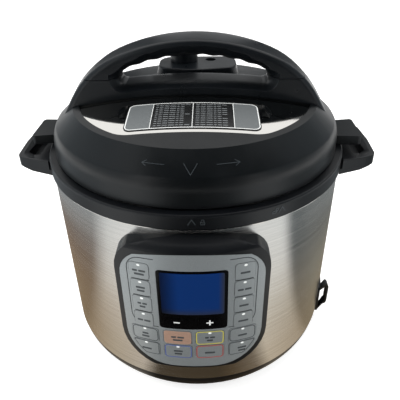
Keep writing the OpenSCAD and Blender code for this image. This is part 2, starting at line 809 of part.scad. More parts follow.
module led_block(k, r, r0, r1) {
    on_face(k[1], k[2] + led_rise, r0, r1) circle(r = r, $fn = 24);
}

module key(name) {
    k = [for (one = KEYS) if (one[0] == name) one][0];
    lit = len([for (one = lit_keys) if (one[0] == name) 1]) > 0;
    step = name == "key_minus" || name == "key_plus";
    color(step ? "#101012" : "#b2b4b7")
        difference() {
            key_block(k, 0, face_r + key_travel + seat_gap, panel_r + key_rise);
            if (lit)
                led_block(k, led_r + slack, face_r, panel_r + 1);
        }
}

// ---------- mains parts ----------

module power_board() {
    floor_z = bottom_z + bottom_t;
    top = floor_z + power_post_h + board_t;
    color("#2d5a34")
        translate([0, power_y, 0]) {
            for (x = [-0.44, 0.44])
                for (y = [0.12, 0.88])
                    translate([x * power_w, y * power_d, floor_z]) cylinder(r = 2.5, h = power_post_h + 0.5, $fn = 24);
            translate([-power_w / 2, 0, floor_z + power_post_h]) cube([power_w, power_d, board_t]);
            for (x = [-0.4, -0.08, 0.14])
                translate([x * power_w, power_d * 0.15, top - 0.5]) cube([power_w * 0.17, power_d * 0.35, power_part_h]);
            translate([-power_w / 4, power_d * 0.75, top - 0.5]) cylinder(r = power_part_h / 2, h = power_part_h);
            translate([power_w * 0.05, power_d * 0.6, top - 0.5]) cube([power_w * 0.32, power_d * 0.3, power_part_h * 0.75]);
        }
}

module loop_profile() {
    z0 = inlet_z0 + 1;
    z1 = inlet_z0 + inlet_h - 1;
    out = wrap_r + loop_reach;
    difference() {
        polygon(rounded([[wrap_r - 6, z0, 0], [out, z0, 6], [out, z1, 6], [wrap_r - 6, z1, 0]]));
        polygon(rounded([[wrap_r - 20, z0 + loop_t, 0], [out - loop_t, z0 + loop_t, 3], [out - loop_t, z1 - loop_t, 3],
            [wrap_r - 20, z1 - loop_t, 0]]));
    }
}

// The outside of the mains socket, grown by g
module socket_sleeve(g) {
    along_x(wrap_r - socket_depth - socket_floor - g, wrap_r + 0.5)
        translate([0, socket_z]) box_outline(socket_w + 2 * (socket_wall + g), socket_h + 2 * (socket_wall + g), 4);
}

module inlet_bezel() {
    color("#1b1b1d")
        difference() {
            union() {
                intersection() {
                    ring(wrap_r, inlet_r, inlet_z0 - 2, inlet_h + 4);
                    along_x(wrap_r / 2, far) translate([0, socket_z]) box_outline(inlet_w, inlet_h, 5);
                }
                socket_sleeve(0);
                for (side = [-1, 1])
                    translate([0, side * loop_y, 0]) along_y(-loop_w / 2, loop_w / 2) loop_profile();
            }
            along_x(wrap_r - socket_depth, far) translate([0, socket_z]) box_outline(socket_w, socket_h, 3);
            difference() {
                translate([0, 0, inlet_z0 - 4]) cylinder(r = wrap_r, h = inlet_h + 8);
                socket_sleeve(0);
            }
            pin_blocks(seat_gap);
        }
}

// The three contact blades, grown by g
module pin_blocks(g) {
    for (p = pin_places)
        translate([wrap_r - socket_depth - socket_floor - 4, p[0] - 2 - g, socket_z + p[1] - 1 - g])
            cube([socket_floor + 17, 4 + 2 * g, 2 + 2 * g]);
}

module inlet_pins() {
    color("#c7b78a") pin_blocks(0);
}

// ---------- condensation cup ----------

module cup_bracket() {
    color("#232325") {
        intersection() {
            ring(wrap_r, cup_y0, rail_z - 3, rail_h);
            translate([-cup_w / 2 + 6, 0, rail_z - 3]) cube([cup_w - 12, far, rail_h]);
        }
        for (side = [-1, 1])
            translate([side * (cup_w / 2 - rail_in) - 3, cup_y0 - 4, rail_z]) cube([6, 8, 3]);
    }
}

module condensation_cup() {
    inner_w = cup_w - 2 * cup_t;
    depth = cup_y1 - cup_y0;
    color("#d9dde0", 0.5)
        difference() {
            translate([0, cup_y0 + slack, cup_z0])
                linear_extrude(cup_h)
                    polygon(rounded([[-cup_w / 2, 0, 0], [cup_w / 2, 0, 0], [cup_w / 2, depth - slack, 6],
                        [-cup_w / 2, depth - slack, 6]]));
            translate([0, cup_y0 + slack + cup_t, cup_z0 + cup_t])
                linear_extrude(cup_h)
                    polygon(rounded([[-inner_w / 2, 0, 0], [inner_w / 2, 0, 0], [inner_w / 2, depth - slack - 2 * cup_t, 4.5],
                        [-inner_w / 2, depth - slack - 2 * cup_t, 4.5]]));
            for (side = [-1, 1])
                translate([side * (cup_w / 2 - rail_in) - 3 - slack, cup_y0 - 2, rail_z - slack])
                    cube([6 + 2 * slack, 12, 3 + 2 * slack]);
        }
}

// ---------- lid ----------

function window_plan() =
    let (
        c = window_corner,
        cy = -window_front + c,
        cx = sqrt((window_r - c) ^ 2 - cy ^ 2),
        join = angle_of([cx, cy]),
        back = -handle_front + 1,
        back_angle = asin(back / window_r)
    )
    concat(
        arc([cx, cy], c, -90, join, 8),
        arc([0, 0], window_r, join, back_angle, 14),
        mirror_x(concat(arc([cx, cy], c, -90, join, 8), arc([0, 0], window_r, join, back_angle, 14))));

// The top of the side wall, from the ridge at r0 down to where it stands upright at r1
function lid_curve(r0, r1, z) =
    let (
        d = r1 - r0,
        ball = (d ^ 2 + lid_curve_h ^ 2) / (2 * d),
        turn = atan2(lid_curve_h, ball - d)
    )
    arc([r1 - ball, z - lid_curve_h], ball, turn * 5 / 6, 0, 5);

module cover_shell() {
    rotate_extrude()
        polygon(concat(
            cap(crown_ball_r, 0, crest_r),
            [[ridge_r, ridge_z]],
            lid_curve(ridge_r, lid_r, ridge_z),
            [[lid_r, lid_z0 + 0.8], [lid_r - 0.6, lid_z0], [lid_in_r, lid_z0], [lid_in_r, ridge_z - lid_curve_h],
                    [ridge_r - cover_t + 0.4, ridge_z - 2.2], [crest_r - 0.8, crest_z - 2.4]],
            cap(dome_ball_r + seat_gap, crest_r - 2, 0)));
}

module lid_cover() {
    color("#242426")
        difference() {
            union() {
                cover_shell();
                for (side = [0, 180])
                    rotate([0, 0, side - fin_turn])
                        difference() {
                            translate([0, 0, lid_z0])
                                linear_extrude(fin_h)
                                    polygon(rounded([[lid_in_r + 1, -fin_w / 2, 0], [lid_r + fin_reach, -fin_w / 2, 3],
                                        [lid_r + fin_reach - 1, fin_w / 2, 3], [lid_in_r + 1, fin_w / 2, 0]]));
                            translate([0, 0, lid_z0 - 1]) cylinder(r = lid_in_r + 1, h = fin_h + 2);
                        }
            }
            translate([0, 0, crest_z - 20]) linear_extrude(far) polygon(window_plan());
            translate([knob_x, knob_y, crest_z - 5]) cylinder(r = pipe_r + 3, h = far);
            translate([float_x, float_y, crest_z - 5]) cylinder(r = float_hole_r + 1, h = far);
            handle_screw_holes();
        }
}

module inner_lid() {
    color("#c4c6c8")
        difference() {
            union() {
                rotate_extrude()
                    polygon(concat(
                        cap(dome_ball_r, 0, throat_r - 1.6),
                        [[throat_r, ball_z(dome_ball_r, throat_r) - 2], [throat_r, shoulder_z], [skirt_out_r - 1.5, shoulder_z],
                            [skirt_out_r, shoulder_z - 1.5], [skirt_out_r, skirt_z0], [skirt_in_r, skirt_z0],
                            [skirt_in_r, shoulder_z - dome_t - 1], [skirt_in_r - 1, shoulder_z - dome_t],
                            [throat_r - dome_t, shoulder_z - dome_t], [throat_r - dome_t, ball_z(dome_ball_r, throat_r) - 3]],
                        cap(dome_under_r, throat_r - 2.6, 0)));
                tab_segment(skirt_in_r - tooth_reach, skirt_in_r + 0.5, skirt_z0, tooth_t, tab_angle);
            }
            translate([knob_x, knob_y, crest_z - 10]) cylinder(r = pipe_r + seat_gap, h = far);
            translate([float_x, float_y, crest_z - 10]) cylinder(r = float_r + run_gap, h = far);
            handle_screw_holes();
        }
}

module sealing_ring() {
    lip = 2.2;
    color("#e9e9e4")
        rotate_extrude()
            polygon(rounded([[seal_in_r, seal_z0, 1.2], [seal_out_r, seal_z0, 1.2], [seal_out_r, seal_z1, 1.2],
                [seal_in_r, seal_z1, 1.2], [seal_in_r, seal_z1 - lip, 0.6], [seal_out_r - lip, seal_z1 - lip, 0.6],
                [seal_out_r - lip, seal_z0 + lip, 0.6], [seal_in_r, seal_z0 + lip, 0.6]]));
}

module ring_rack() {
    wire_ring_r = throat_r - dome_t - rack_wire_r - seat_gap;
    wire_z = (seal_z0 + seal_z1) / 2;
    leg_z1 = shoulder_z + 4;
    leg_r = rack_wire_r - 0.3;
    color("#b4b6b8")
        union() {
            rotate_extrude() translate([wire_ring_r, wire_z]) circle(r = rack_wire_r);
            for (a = [0:60:300])
                rotate([0, 0, a + 15]) {
                    translate([wire_ring_r, 0, wire_z]) cylinder(r = leg_r, h = leg_z1 - wire_z);
                    translate([wire_ring_r - leg_r, -leg_r, leg_z1 - leg_r])
                        cube([throat_r - dome_t - wire_ring_r + leg_r, 2 * leg_r, 2 * leg_r]);
                }
        }
}

module lid_plate() {
    front_w = window_r / 2;
    back_w = window_r * 0.385;
    front_y = sheet_front - window_front;
    back_y = -handle_front - sheet_back;
    color("#3a3b3d")
        intersection() {
            rotate_extrude()
                polygon(concat(cap(dome_ball_r + sheet_t, 0, window_r), cap(dome_ball_r + seat_gap, window_r, 0)));
            translate([0, 0, crest_z - 20])
                linear_extrude(far)
                    polygon(rounded([[-front_w, front_y, 8], [front_w, front_y, 8], [back_w, back_y, 6], [-back_w, back_y, 6]]));
        }
}

// ---------- lid handle ----------

// The handle's outline, drawn in by e: two sloping ends, shoulders, and one long arch
function handle_outline(e) =
    let (
        top_c = [0, handle_z1 - arch_r],
        foot = [handle_half, crest_z + 1],
        out = [sin(leg_angle), cos(leg_angle)],
        up = [-cos(leg_angle), sin(leg_angle)],
        v = foot - shoulder_r * out - top_c,
        run = -(v * up) + sqrt((v * up) ^ 2 - v * v + (arch_r - shoulder_r) ^ 2),
        centre = foot - shoulder_r * out + run * up,
        meet = angle_of(centre - top_c),
        low = foot - up * 16 - out * e,
        half = concat([low], arc(centre, shoulder_r - e, 90 - leg_angle, meet, 7), arc(top_c, arch_r - e, meet, 90, 12))
    )
    concat(half, mirror_x([for (i = [0:len(half) - 2]) half[i]]));

// The hand opening, grown by g: a saddle crowned like the lid below, a waved grip above
function opening_outline(g) =
    let (
        r = grip_r - opening_bow * g,
        c = [0, handle_z1 - grip_t + opening_lift * g - r],
        w = opening_half + g - opening_flare,
        end_r = 5 + g * 0.9,
        low = saddle_z - g * 0.4,
        foot_w = w - end_r,
        a0 = acos((w - end_r * 0.6) / r),
        waves = 8,
        count = 48,
        base_c = [0, low - crown_ball_r],
        base_a = asin(foot_w / crown_ball_r),
        side_z = base_c[1] + crown_ball_r * cos(base_a) + end_r
    )
    concat(
        arc([foot_w, side_z], end_r, -85, 15, 7),
        [for (i = [0:count])
            let (a = a0 + (180 - 2 * a0) * i / count)
            c + (r - wave_h * cos(waves * 360 * i / count)) * [cos(a), sin(a)]],
        arc([-foot_w, side_z], end_r, 165, 265, 7),
        arc(base_c, crown_ball_r, 90 + base_a, 90 - base_a, 10));

// Distances across the handle, from front to back, with how far its rounded edges draw in
function across(depth) =
    let (r = handle_edge_r, k = [0, 22.5, 45, 67.5, 90])
    concat(
        [for (a = k) [r * (1 - cos(a)), r * (1 - sin(a))]],
        [[depth / 2, -handle_crown]],
        [for (i = [len(k) - 1:-1:0]) [depth - r * (1 - cos(k[i])), r * (1 - sin(k[i]))]]);

function front_y(z) = -handle_front + handle_lean * (z - crest_z) / handle_h;
function back_y(z) = handle_back - handle_lean * (z - crest_z) / handle_h;

module handle_skin() {
    depth = handle_front + handle_back;
    skin([for (s = across(depth))
        [for (p = handle_outline(s[1]))
            [p[0], front_y(p[1]) + (back_y(p[1]) - front_y(p[1])) * s[0] / depth, p[1]]]]);
}

// The hand opening, flared towards both faces so that the grip is rounded
module opening_skin() {
    y0 = -handle_front - 2;
    y1 = handle_back + 2;
    f = opening_flare;
    skin([for (s = [[y0, f + 2], [y0 + 6, f], [y0 + 9, f * 0.55], [y0 + 13, f * 0.2], [y0 + 18, 0], [y1 - 18, 0],
            [y1 - 13, f * 0.2], [y1 - 9, f * 0.55], [y1 - 6, f], [y1, f + 2]])
        [for (p = opening_outline(s[1])) [p[0], s[0], p[1]]]]);
}

// Everything under the lid cover's outer surface
module under_cover() {
    rotate_extrude()
        polygon(concat([[0, 0], [lid_r + 40, 0], [lid_r + 40, ridge_z], [ridge_r, ridge_z + seat_gap]],
            cap(crown_ball_r, crest_r, 0)));
}

module handle_solid() {
    difference() {
        handle_skin();
        opening_skin();
        under_cover();
    }
}

module handle_base() {
    color("#222224")
        difference() {
            union() {
                intersection() {
                    handle_solid();
                    translate([-far / 2, -far / 2, 0]) cube([far, far, handle_split_z - handle_seam]);
                }
                for (side = [-1, 1])
                    translate([side * (opening_half + leg_w / 2 - 8), 0, handle_split_z - 2])
                        linear_extrude(2) box_outline(10, 24, 3);
            }
            handle_screw_holes();
        }
}

module handle_arch() {
    color("#262628")
        intersection() {
            handle_solid();
            translate([-far / 2, -far / 2, handle_split_z]) cube([far, far, 200]);
        }
}

module handle_screw_holes() {
    for (p = handle_screw_places)
        translate([p[0], p[1], crest_z - 30]) cylinder(r = screw_shaft_r + seat_gap, h = 30 + hole_reach, $fn = 32);
}

// Everything under the steel lid's dome
module under_dome() {
    rotate_extrude() polygon(concat([[0, 0], [throat_r - 3, 0]], cap(dome_under_r - seat_gap, throat_r - 3, 0)));
}

module handle_screws() {
    color("#bfc0c1")
        for (p = handle_screw_places) {
            under = ball_z(dome_under_r, norm(p));
            intersection() {
                translate([p[0], p[1], under - 2]) cylinder(r = screw_head_r, h = 6, $fn = 32);
                under_dome();
            }
            translate([p[0], p[1], under - 1]) cylinder(r = screw_shaft_r, h = crest_z + hole_reach - under, $fn = 32);
        }
}

// ---------- valves ----------

// The valve platform's outline, drawn in by inset, with a bowed front
function platform_outline(inset) =
    let (
        x0 = platform_x0 + inset,
        x1 = platform_x1 - inset,
        y0 = platform_y0 + max(inset, 0),
        y1 = platform_y1 - inset,
        bow = 8
    )
    rounded([[x0, y0 + bow, 12], [(x0 + x1) / 2, y0, 60], [x1, y0 + bow, 12], [x1, y1, 14], [x0, y1, 14]]);

module valve_platform() {
    color("#222224")
        difference() {
            skin([for (level = [[platform_z1, 1.2], [platform_z1 - 0.5, 0.4], [platform_z1 - 1.6, 0], [crest_z, -4.5]])
                [for (p = platform_outline(level[1])) [p[0], p[1], level[0]]]]);
            rotate_extrude() polygon(concat([[0, 0]], [[crest_r, 0]], cap(crown_ball_r, crest_r, 0)));
            translate([knob_x, knob_y, crest_z - 20]) cylinder(r = pipe_r + 1.5, h = far);
            translate([float_x, float_y, crest_z - 20]) cylinder(r = float_hole_r, h = far);
        }
}

module steam_pipe() {
    color("#c9cacb")
        translate([knob_x, knob_y, 0])
            difference() {
                union() {
                    translate([0, 0, knob_under_z - 12]) cylinder(r = pipe_r, h = pipe_z1 - knob_under_z + 12);
                    translate([0, 0, platform_z1 - 5]) cylinder(r = pipe_r + 1.2, h = 4);
                    translate([0, 0, shield_z1 - 2.4]) cylinder(r = pipe_r + 0.8, h = 1.2);
                }
                translate([0, 0, knob_under_z - 13]) cylinder(r = pipe_bore_r, h = 80, $fn = 32);
            }
}

module pipe_nut() {
    color("#b4b5b6")
        translate([knob_x, knob_y, knob_under_z - 6])
            difference() {
                cylinder(r = 8, h = 4.6, $fn = 6);
                translate([0, 0, -1]) cylinder(r = pipe_r + 0.05, h = 8);
            }
}

module anti_block_shield() {
    out_r = 13;
    h = 10;
    z0 = shield_z1 - h;
    color("#aeb0b2")
        translate([knob_x, knob_y, 0])
            difference() {
                translate([0, 0, z0]) cylinder(r = out_r, h = h);
                translate([0, 0, z0 + 1]) cylinder(r = out_r - 1, h = h - 2);
                translate([0, 0, shield_z1 - 2]) cylinder(r = pipe_r + seat_gap, h = 4);
                translate([0, 0, z0 - 1]) cylinder(r = 2, h = 3, $fn = 24);
                for (a = [0:30:330])
                    rotate([0, 0, a]) translate([8, -0.8, z0 + 2.5]) cube([8, 1.6, 5]);
                for (a = [0:60:300])
                    rotate([0, 0, a]) translate([7, 0, z0 - 1]) cylinder(r = 1.4, h = 3, $fn = 20);
            }
}

module steam_release_knob() {
    head_z = knob_z0 + knob_stem_h;
    bore = pipe_r + run_gap;
    color("#1f1f21")
        translate([knob_x, knob_y, 0])
            difference() {
                union() {
                    translate([0, 0, knob_z0]) cylinder(r = knob_r, h = knob_stem_h + knob_head_h);
                    translate([0, 0, head_z])
                        linear_extrude(knob_head_h)
                            polygon(rounded([[0, knob_r + 1, 3], [-knob_nose, 4, 3.5], [-knob_nose, -4, 3.5], [0, -knob_r - 1, 3],
                                [knob_r, -knob_r * 0.6, 6], [knob_r, knob_r * 0.6, 6]]));
                }
                translate([0, 0, knob_z0 - 1]) cylinder(r = bore, h = pipe_z1 - knob_z0 + 1 + slack);
                translate([0, 0, knob_z0 - 1]) cylinder(r = pipe_r + 2, h = 3);
            }
}

module float_valve() {
    top = platform_z1 - float_travel - 1;
    color("#d4d5d6")
        translate([float_x, float_y, 0]) {
            translate([0, 0, float_under_z - float_travel - 6]) cylinder(r = float_r, h = top - float_under_z + float_travel + 6);
            translate([0, 0, float_under_z - float_travel - 6]) cylinder(r = float_r + 2.5, h = 2);
        }
}

module float_seal() {
    color("#d8d6cf")
        translate([float_x, float_y, float_under_z - float_travel - 4 + seat_gap])
            difference() {
                cylinder(r = float_r + 2, h = 3);
                translate([0, 0, -1]) cylinder(r = float_r + 0.02, h = 5);
            }
}

// ---------- one node at a time ----------

foot_pads();
base_skirt();
bottom_plate();
bottom_screws();
steel_wrap();
collar();
side_handle_left();
side_handle_right();
well();
heating_plate();
heating_element();
temperature_sensor();
sensor_spring();
cooking_pot();
panel_bezel();
panel_face();
display_window();
display_module();
control_board();
indicator_lenses();
for (k = KEYS)
    key(k[0]);
power_board();
inlet_bezel();
inlet_pins();
cup_bracket();
condensation_cup();
lid_cover();
inner_lid();
sealing_ring();
ring_rack();
lid_plate();
handle_base();
handle_arch();
handle_screws();
valve_platform();
steam_pipe();
pipe_nut();
anti_block_shield();
steam_release_knob();
float_valve();
float_seal();
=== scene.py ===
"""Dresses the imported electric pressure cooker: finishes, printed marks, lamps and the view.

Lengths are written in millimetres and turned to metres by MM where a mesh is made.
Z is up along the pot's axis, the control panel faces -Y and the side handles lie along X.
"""

import json  # noqa: E402
import logging  # noqa: E402
import math  # noqa: E402
from dataclasses import dataclass  # noqa: E402
from enum import Enum  # noqa: E402
from typing import Callable, Iterable, Protocol  # noqa: E402

import bmesh  # noqa: E402
import bpy  # noqa: E402
from mathutils import Matrix, Vector  # noqa: E402

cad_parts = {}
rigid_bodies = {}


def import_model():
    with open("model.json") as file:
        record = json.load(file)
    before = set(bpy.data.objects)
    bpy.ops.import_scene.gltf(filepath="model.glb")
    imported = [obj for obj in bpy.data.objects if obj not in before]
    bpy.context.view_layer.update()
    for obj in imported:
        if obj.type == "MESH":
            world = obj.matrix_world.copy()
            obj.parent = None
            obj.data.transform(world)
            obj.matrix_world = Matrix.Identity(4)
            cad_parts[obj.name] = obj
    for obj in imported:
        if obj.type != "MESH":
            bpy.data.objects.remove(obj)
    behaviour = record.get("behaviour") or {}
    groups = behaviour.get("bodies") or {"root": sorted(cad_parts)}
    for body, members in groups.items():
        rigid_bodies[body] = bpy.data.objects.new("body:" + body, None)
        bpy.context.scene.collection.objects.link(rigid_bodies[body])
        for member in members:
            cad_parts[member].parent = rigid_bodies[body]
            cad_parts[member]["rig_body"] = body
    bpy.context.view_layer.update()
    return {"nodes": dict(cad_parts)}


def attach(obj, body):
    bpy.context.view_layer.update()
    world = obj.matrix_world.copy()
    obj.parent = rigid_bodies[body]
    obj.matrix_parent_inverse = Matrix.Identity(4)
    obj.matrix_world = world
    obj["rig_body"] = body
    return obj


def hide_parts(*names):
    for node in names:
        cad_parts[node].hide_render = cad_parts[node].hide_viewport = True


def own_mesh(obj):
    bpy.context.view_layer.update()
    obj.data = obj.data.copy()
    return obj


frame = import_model()
LOG = logging.getLogger("pressure_cooker")
MM = 0.001


# ---------- shader helpers ----------

Colour = tuple[float, float, float, float]
Point = tuple[float, float, float]
Pair = tuple[float, float]


def linear(colour: str) -> Colour:
    """Turns an sRGB hex colour into Blender's linear colour.

    Args:
        colour: Six hex digits, with or without a leading hash sign.

    Returns:
        Linear red, green and blue, and an alpha of 1.
    """
    digits = colour.lstrip("#")
    parts = [int(digits[i : i + 2], 16) / 255 for i in (0, 2, 4)]
    # The sRGB curve: a straight foot, then a power.
    red, green, blue = [
        c / 12.92 if c <= 0.04045 else ((c + 0.055) / 1.055) ** 2.4 for c in parts
    ]
    return red, green, blue, 1.0


def toned(colour: str, factor: float, lift: float = 0.0) -> Colour:
    """A hex colour as a linear one, made lighter or deeper.

    Args:
        colour: The hex colour.
        factor: What each linear channel is multiplied by.
        lift: What is then added to it.

    Returns:
        The linear colour.
    """
    red, green, blue = (c * factor + lift for c in linear(colour)[:3])
    return red, green, blue, 1.0


def fill_inputs(
    tree: bpy.types.NodeTree, node: bpy.types.Node, inputs: dict[object, object]
) -> None:
    """Gives a node's inputs their values and links.

    Args:
        tree: The node tree that holds the node.
        node: The node.
        inputs: Values or output sockets, keyed by the input's name or place.
    """
    for key, value in inputs.items():
        if isinstance(value, bpy.types.NodeSocket):
            tree.links.new(value, node.inputs[key])
        else:
            node.inputs[key].default_value = value


def add_node(
    tree: bpy.types.NodeTree,
    kind: str,
    inputs: dict[object, object] | None = None,
    settings: dict[str, object] | None = None,
    stops: Iterable[tuple[float, Colour]] = (),
) -> bpy.types.Node:
    """Adds a shader node with its settings, values, links and colour stops.

    Args:
        tree: The node tree that takes the node.
        kind: Blender's name for the node type.
        inputs: Values or output sockets, keyed by the input's name or place.
        settings: Attributes of the node.
        stops: Place and linear colour of each stop of a colour ramp, in order.

    Returns:
        The new node.
    """
    made = tree.nodes.new(kind)
    for name, value in (settings or {}).items():
        setattr(made, name, value)
    fill_inputs(tree, made, inputs or {})
    for i, (place, colour) in enumerate(stops):
        band = made.color_ramp.elements
        stop = band[i] if i < len(band) else band.new(place)
        stop.position = place
        stop.color = colour
    return made


# ---------- finishes ----------


@dataclass(frozen=True)
class Coat:
    """A material in the making: its node tree and its Principled BSDF."""

    tree: bpy.types.NodeTree
    shader: bpy.types.Node

    def put(self, inputs: dict[object, object]) -> None:
        """Gives the shader's inputs their values and links.

        Args:
            inputs: Values or output sockets, keyed by the input's name.
        """
        fill_inputs(self.tree, self.shader, inputs)

    def pattern(
        self, scale: float, detail: float = 2.0, stretch: Point = (1.0, 1.0, 1.0)
    ) -> bpy.types.NodeSocket:
        """An irregular pattern from 0 to 1 that is fixed to the object.

        Args:
            scale: How often the pattern changes in one metre.
            detail: How many finer layers lie over it.
            stretch: What its places are multiplied by along X, Y and Z.

        Returns:
            The pattern's value.
        """
        place = add_node(self.tree, "ShaderNodeTexCoord")
        mapped = add_node(
            self.tree, "ShaderNodeMapping", {"Vector": place.outputs["Object"], "Scale": stretch}
        )
        cloud = add_node(
            self.tree,
            "ShaderNodeTexNoise",
            {"Vector": mapped.outputs["Vector"], "Scale": scale, "Detail": detail},
        )
        return cloud.outputs["Fac"]

    def bump(self, height: bpy.types.NodeSocket, depth_mm: float) -> None:
        """Raises the surface by a pattern.

        Args:
            height: Pattern from 0 to 1.
            depth_mm: Depth between the pattern's lowest and highest place.
        """
        raised = add_node(
            self.tree,
            "ShaderNodeBump",
            {"Height": height, "Distance": depth_mm * MM, "Strength": 1.0},
        )
        self.put({"Normal": raised.outputs["Normal"]})

    def vary_gloss(
        self, by: bpy.types.NodeSocket, low: float, high: float, span: Pair = (0.3, 0.7)
    ) -> None:
        """Lets the roughness follow a pattern.

        Args:
            by: Pattern from 0 to 1.
            low: Roughness where the pattern is low.
            high: Roughness where the pattern is high.
            span: Which values of the pattern count as low and as high.
        """
        gloss = add_node(
            self.tree,
            "ShaderNodeMapRange",
            {
                "Value": by,
                "From Min": span[0],
                "From Max": span[1],
                "To Min": low,
                "To Max": high,
            },
        )
        self.put({"Roughness": gloss.outputs["Result"]})

    def vary_colour(self, by: bpy.types.NodeSocket, *stops: tuple[float, Colour]) -> None:
        """Lets the colour follow a pattern.

        Args:
            by: Pattern from 0 to 1.
            stops: Places in the pattern and the linear colour at each.
        """
        tint = add_node(self.tree, "ShaderNodeValToRGB", {"Fac": by}, stops=stops)
        self.put({"Base Color": tint.outputs["Color"]})


@dataclass(frozen=True)
class Finish:
    """A material's name, colour and roughness, and what its kind adds to them."""

    name: str
    colour: str
    roughness: float

    def material(self) -> bpy.types.Material:
        """The finish as a Blender material, made once and then reused.

        Returns:
            The material.
        """
        known = bpy.data.materials.get(self.name)
        if known:
            return known
        made = bpy.data.materials.new(self.name)
        made.use_nodes = True
        tree = made.node_tree
        tree.nodes.clear()
        shader = add_node(
            tree,
            "ShaderNodeBsdfPrincipled",
            {"Base Color": linear(self.colour), "Roughness": self.roughness},
        )
        add_node(tree, "ShaderNodeOutputMaterial", {"Surface": shader.outputs["BSDF"]})
        self.shade(Coat(tree, shader))
        made.diffuse_color = linear(self.colour)
        return made

    def shade(self, coat: Coat) -> None:
        """Adds what this kind of finish has beyond a plain colour.

        Args:
            coat: The material in the making.
        """


@dataclass(frozen=True)
class MouldedPlastic(Finish):
    """Injection moulded ABS: an even colour under a fine spark-eroded grain, with the faint
    cloudiness in its gloss that handling and moulding leave. The real grain is about 0.2 mm,
    which is too fine to show, so it is drawn at grain_mm."""

    grain_mm: float = 1.1
    depth_mm: float = 0.012
    cloud: float = 0.05
    cloud_scale: float = 32.0
    wear: float = 1.18

    def shade(self, coat: Coat) -> None:
        """Grain as bump, cloudy gloss and a slight change of colour.

        Args:
            coat: The material in the making.
        """
        coat.put({"IOR": 1.5})
        coat.bump(coat.pattern(1 / (self.grain_mm * MM)), self.depth_mm)
        cloud = coat.pattern(self.cloud_scale, 3.0)
        coat.vary_gloss(cloud, self.roughness - self.cloud, self.roughness + self.cloud)
        worn = toned(self.colour, self.wear)
        coat.vary_colour(cloud, (0.35, linear(self.colour)), (0.7, worn))


@dataclass(frozen=True)
class BrushedSteel(Finish):
    """Stainless steel sheet, belt brushed: long fine lines that stretch every reflection across
    them. The lines run round the axis. The real ones are about 0.1 mm apart and are drawn at
    line_mm, so that they show."""

    line_mm: float = 1.0
    along: float = 4.0
    anisotropy: float = 0.7
    depth_mm: float = 0.003
    deep: float = 0.88

    def shade(self, coat: Coat) -> None:
        """Metal with lines in its colour, gloss and bump.

        Args:
            coat: The material in the making.
        """
        around = add_node(
            coat.tree, "ShaderNodeTangent", settings={"direction_type": "RADIAL", "axis": "Z"}
        )
        coat.put(
            {
                "Metallic": 1.0,
                "Anisotropic": self.anisotropy,
                "Anisotropic Rotation": 0.25,
                "Tangent": around.outputs["Tangent"],
            }
        )
        stretch = (self.along, self.along, 1 / (self.line_mm * MM))
        lines = coat.pattern(1.0, 3.0, stretch)
        coat.bump(lines, self.depth_mm)
        coat.vary_gloss(lines, self.roughness - 0.03, self.roughness + 0.04)
        groove = toned(self.colour, self.deep)
        coat.vary_colour(lines, (0.3, groove), (0.7, linear(self.colour)))


@dataclass(frozen=True)
class PolishedMetal(Finish):
    """Drawn and polished metal: a near mirror with the soft haze and hairlines of use."""

    haze_mm: float = 14.0
    spread: float = 0.03
    least: float = 0.02

    def shade(self, coat: Coat) -> None:
        """Metal whose gloss wanders a little.

        Args:
            coat: The material in the making.
        """
        coat.put({"Metallic": 1.0})
        haze = coat.pattern(1 / (self.haze_mm * MM), 4.0)
        low = max(self.roughness - self.spread, self.least)
        coat.vary_gloss(haze, low, self.roughness + self.spread)


@dataclass(frozen=True)
class CastAluminium(Finish):
    """Die cast aluminium, turned on its face: a soft grey metal with a sandy cast skin."""

    grit_mm: float = 0.9
    depth_mm: float = 0.03

    def shade(self, coat: Coat) -> None:
        """Metal with a cast grit.

        Args:
            coat: The material in the making.
        """
        coat.put({"Metallic": 1.0})
        coat.bump(coat.pattern(1 / (self.grit_mm * MM), 3.0), self.depth_mm)


@dataclass(frozen=True)
class SilverFilm(Finish):
    """Polyester keypad film, printed silver from behind: a soft pearl grey with fine flakes
    under a satin face. The flakes are drawn at flake_mm, coarser than the real ones."""

    flake_mm: float = 0.6
    glint: float = 1.14

    def shade(self, coat: Coat) -> None:
        """Flakes that change the colour a little under a satin coat.

        Args:
            coat: The material in the making.
        """
        coat.put({"Metallic": 0.5, "Coat Weight": 0.25, "Coat Roughness": 0.35})
        flakes = coat.pattern(1 / (self.flake_mm * MM), 1.0)
        light = toned(self.colour, self.glint)
        coat.vary_colour(flakes, (0.35, linear(self.colour)), (0.65, light))


@dataclass(frozen=True)
class PrintInk(Finish):
    """Screen printed ink: an even matt colour, a little thinner in places."""

    scale: float = 700.0

    def shade(self, coat: Coat) -> None:
        """Ink whose colour thins a little.

        Args:
            coat: The material in the making.
        """
        thin = coat.pattern(self.scale)
        pale = toned(self.colour, 0.88, 0.012)
        coat.vary_colour(thin, (0.4, linear(self.colour)), (0.75, pale))


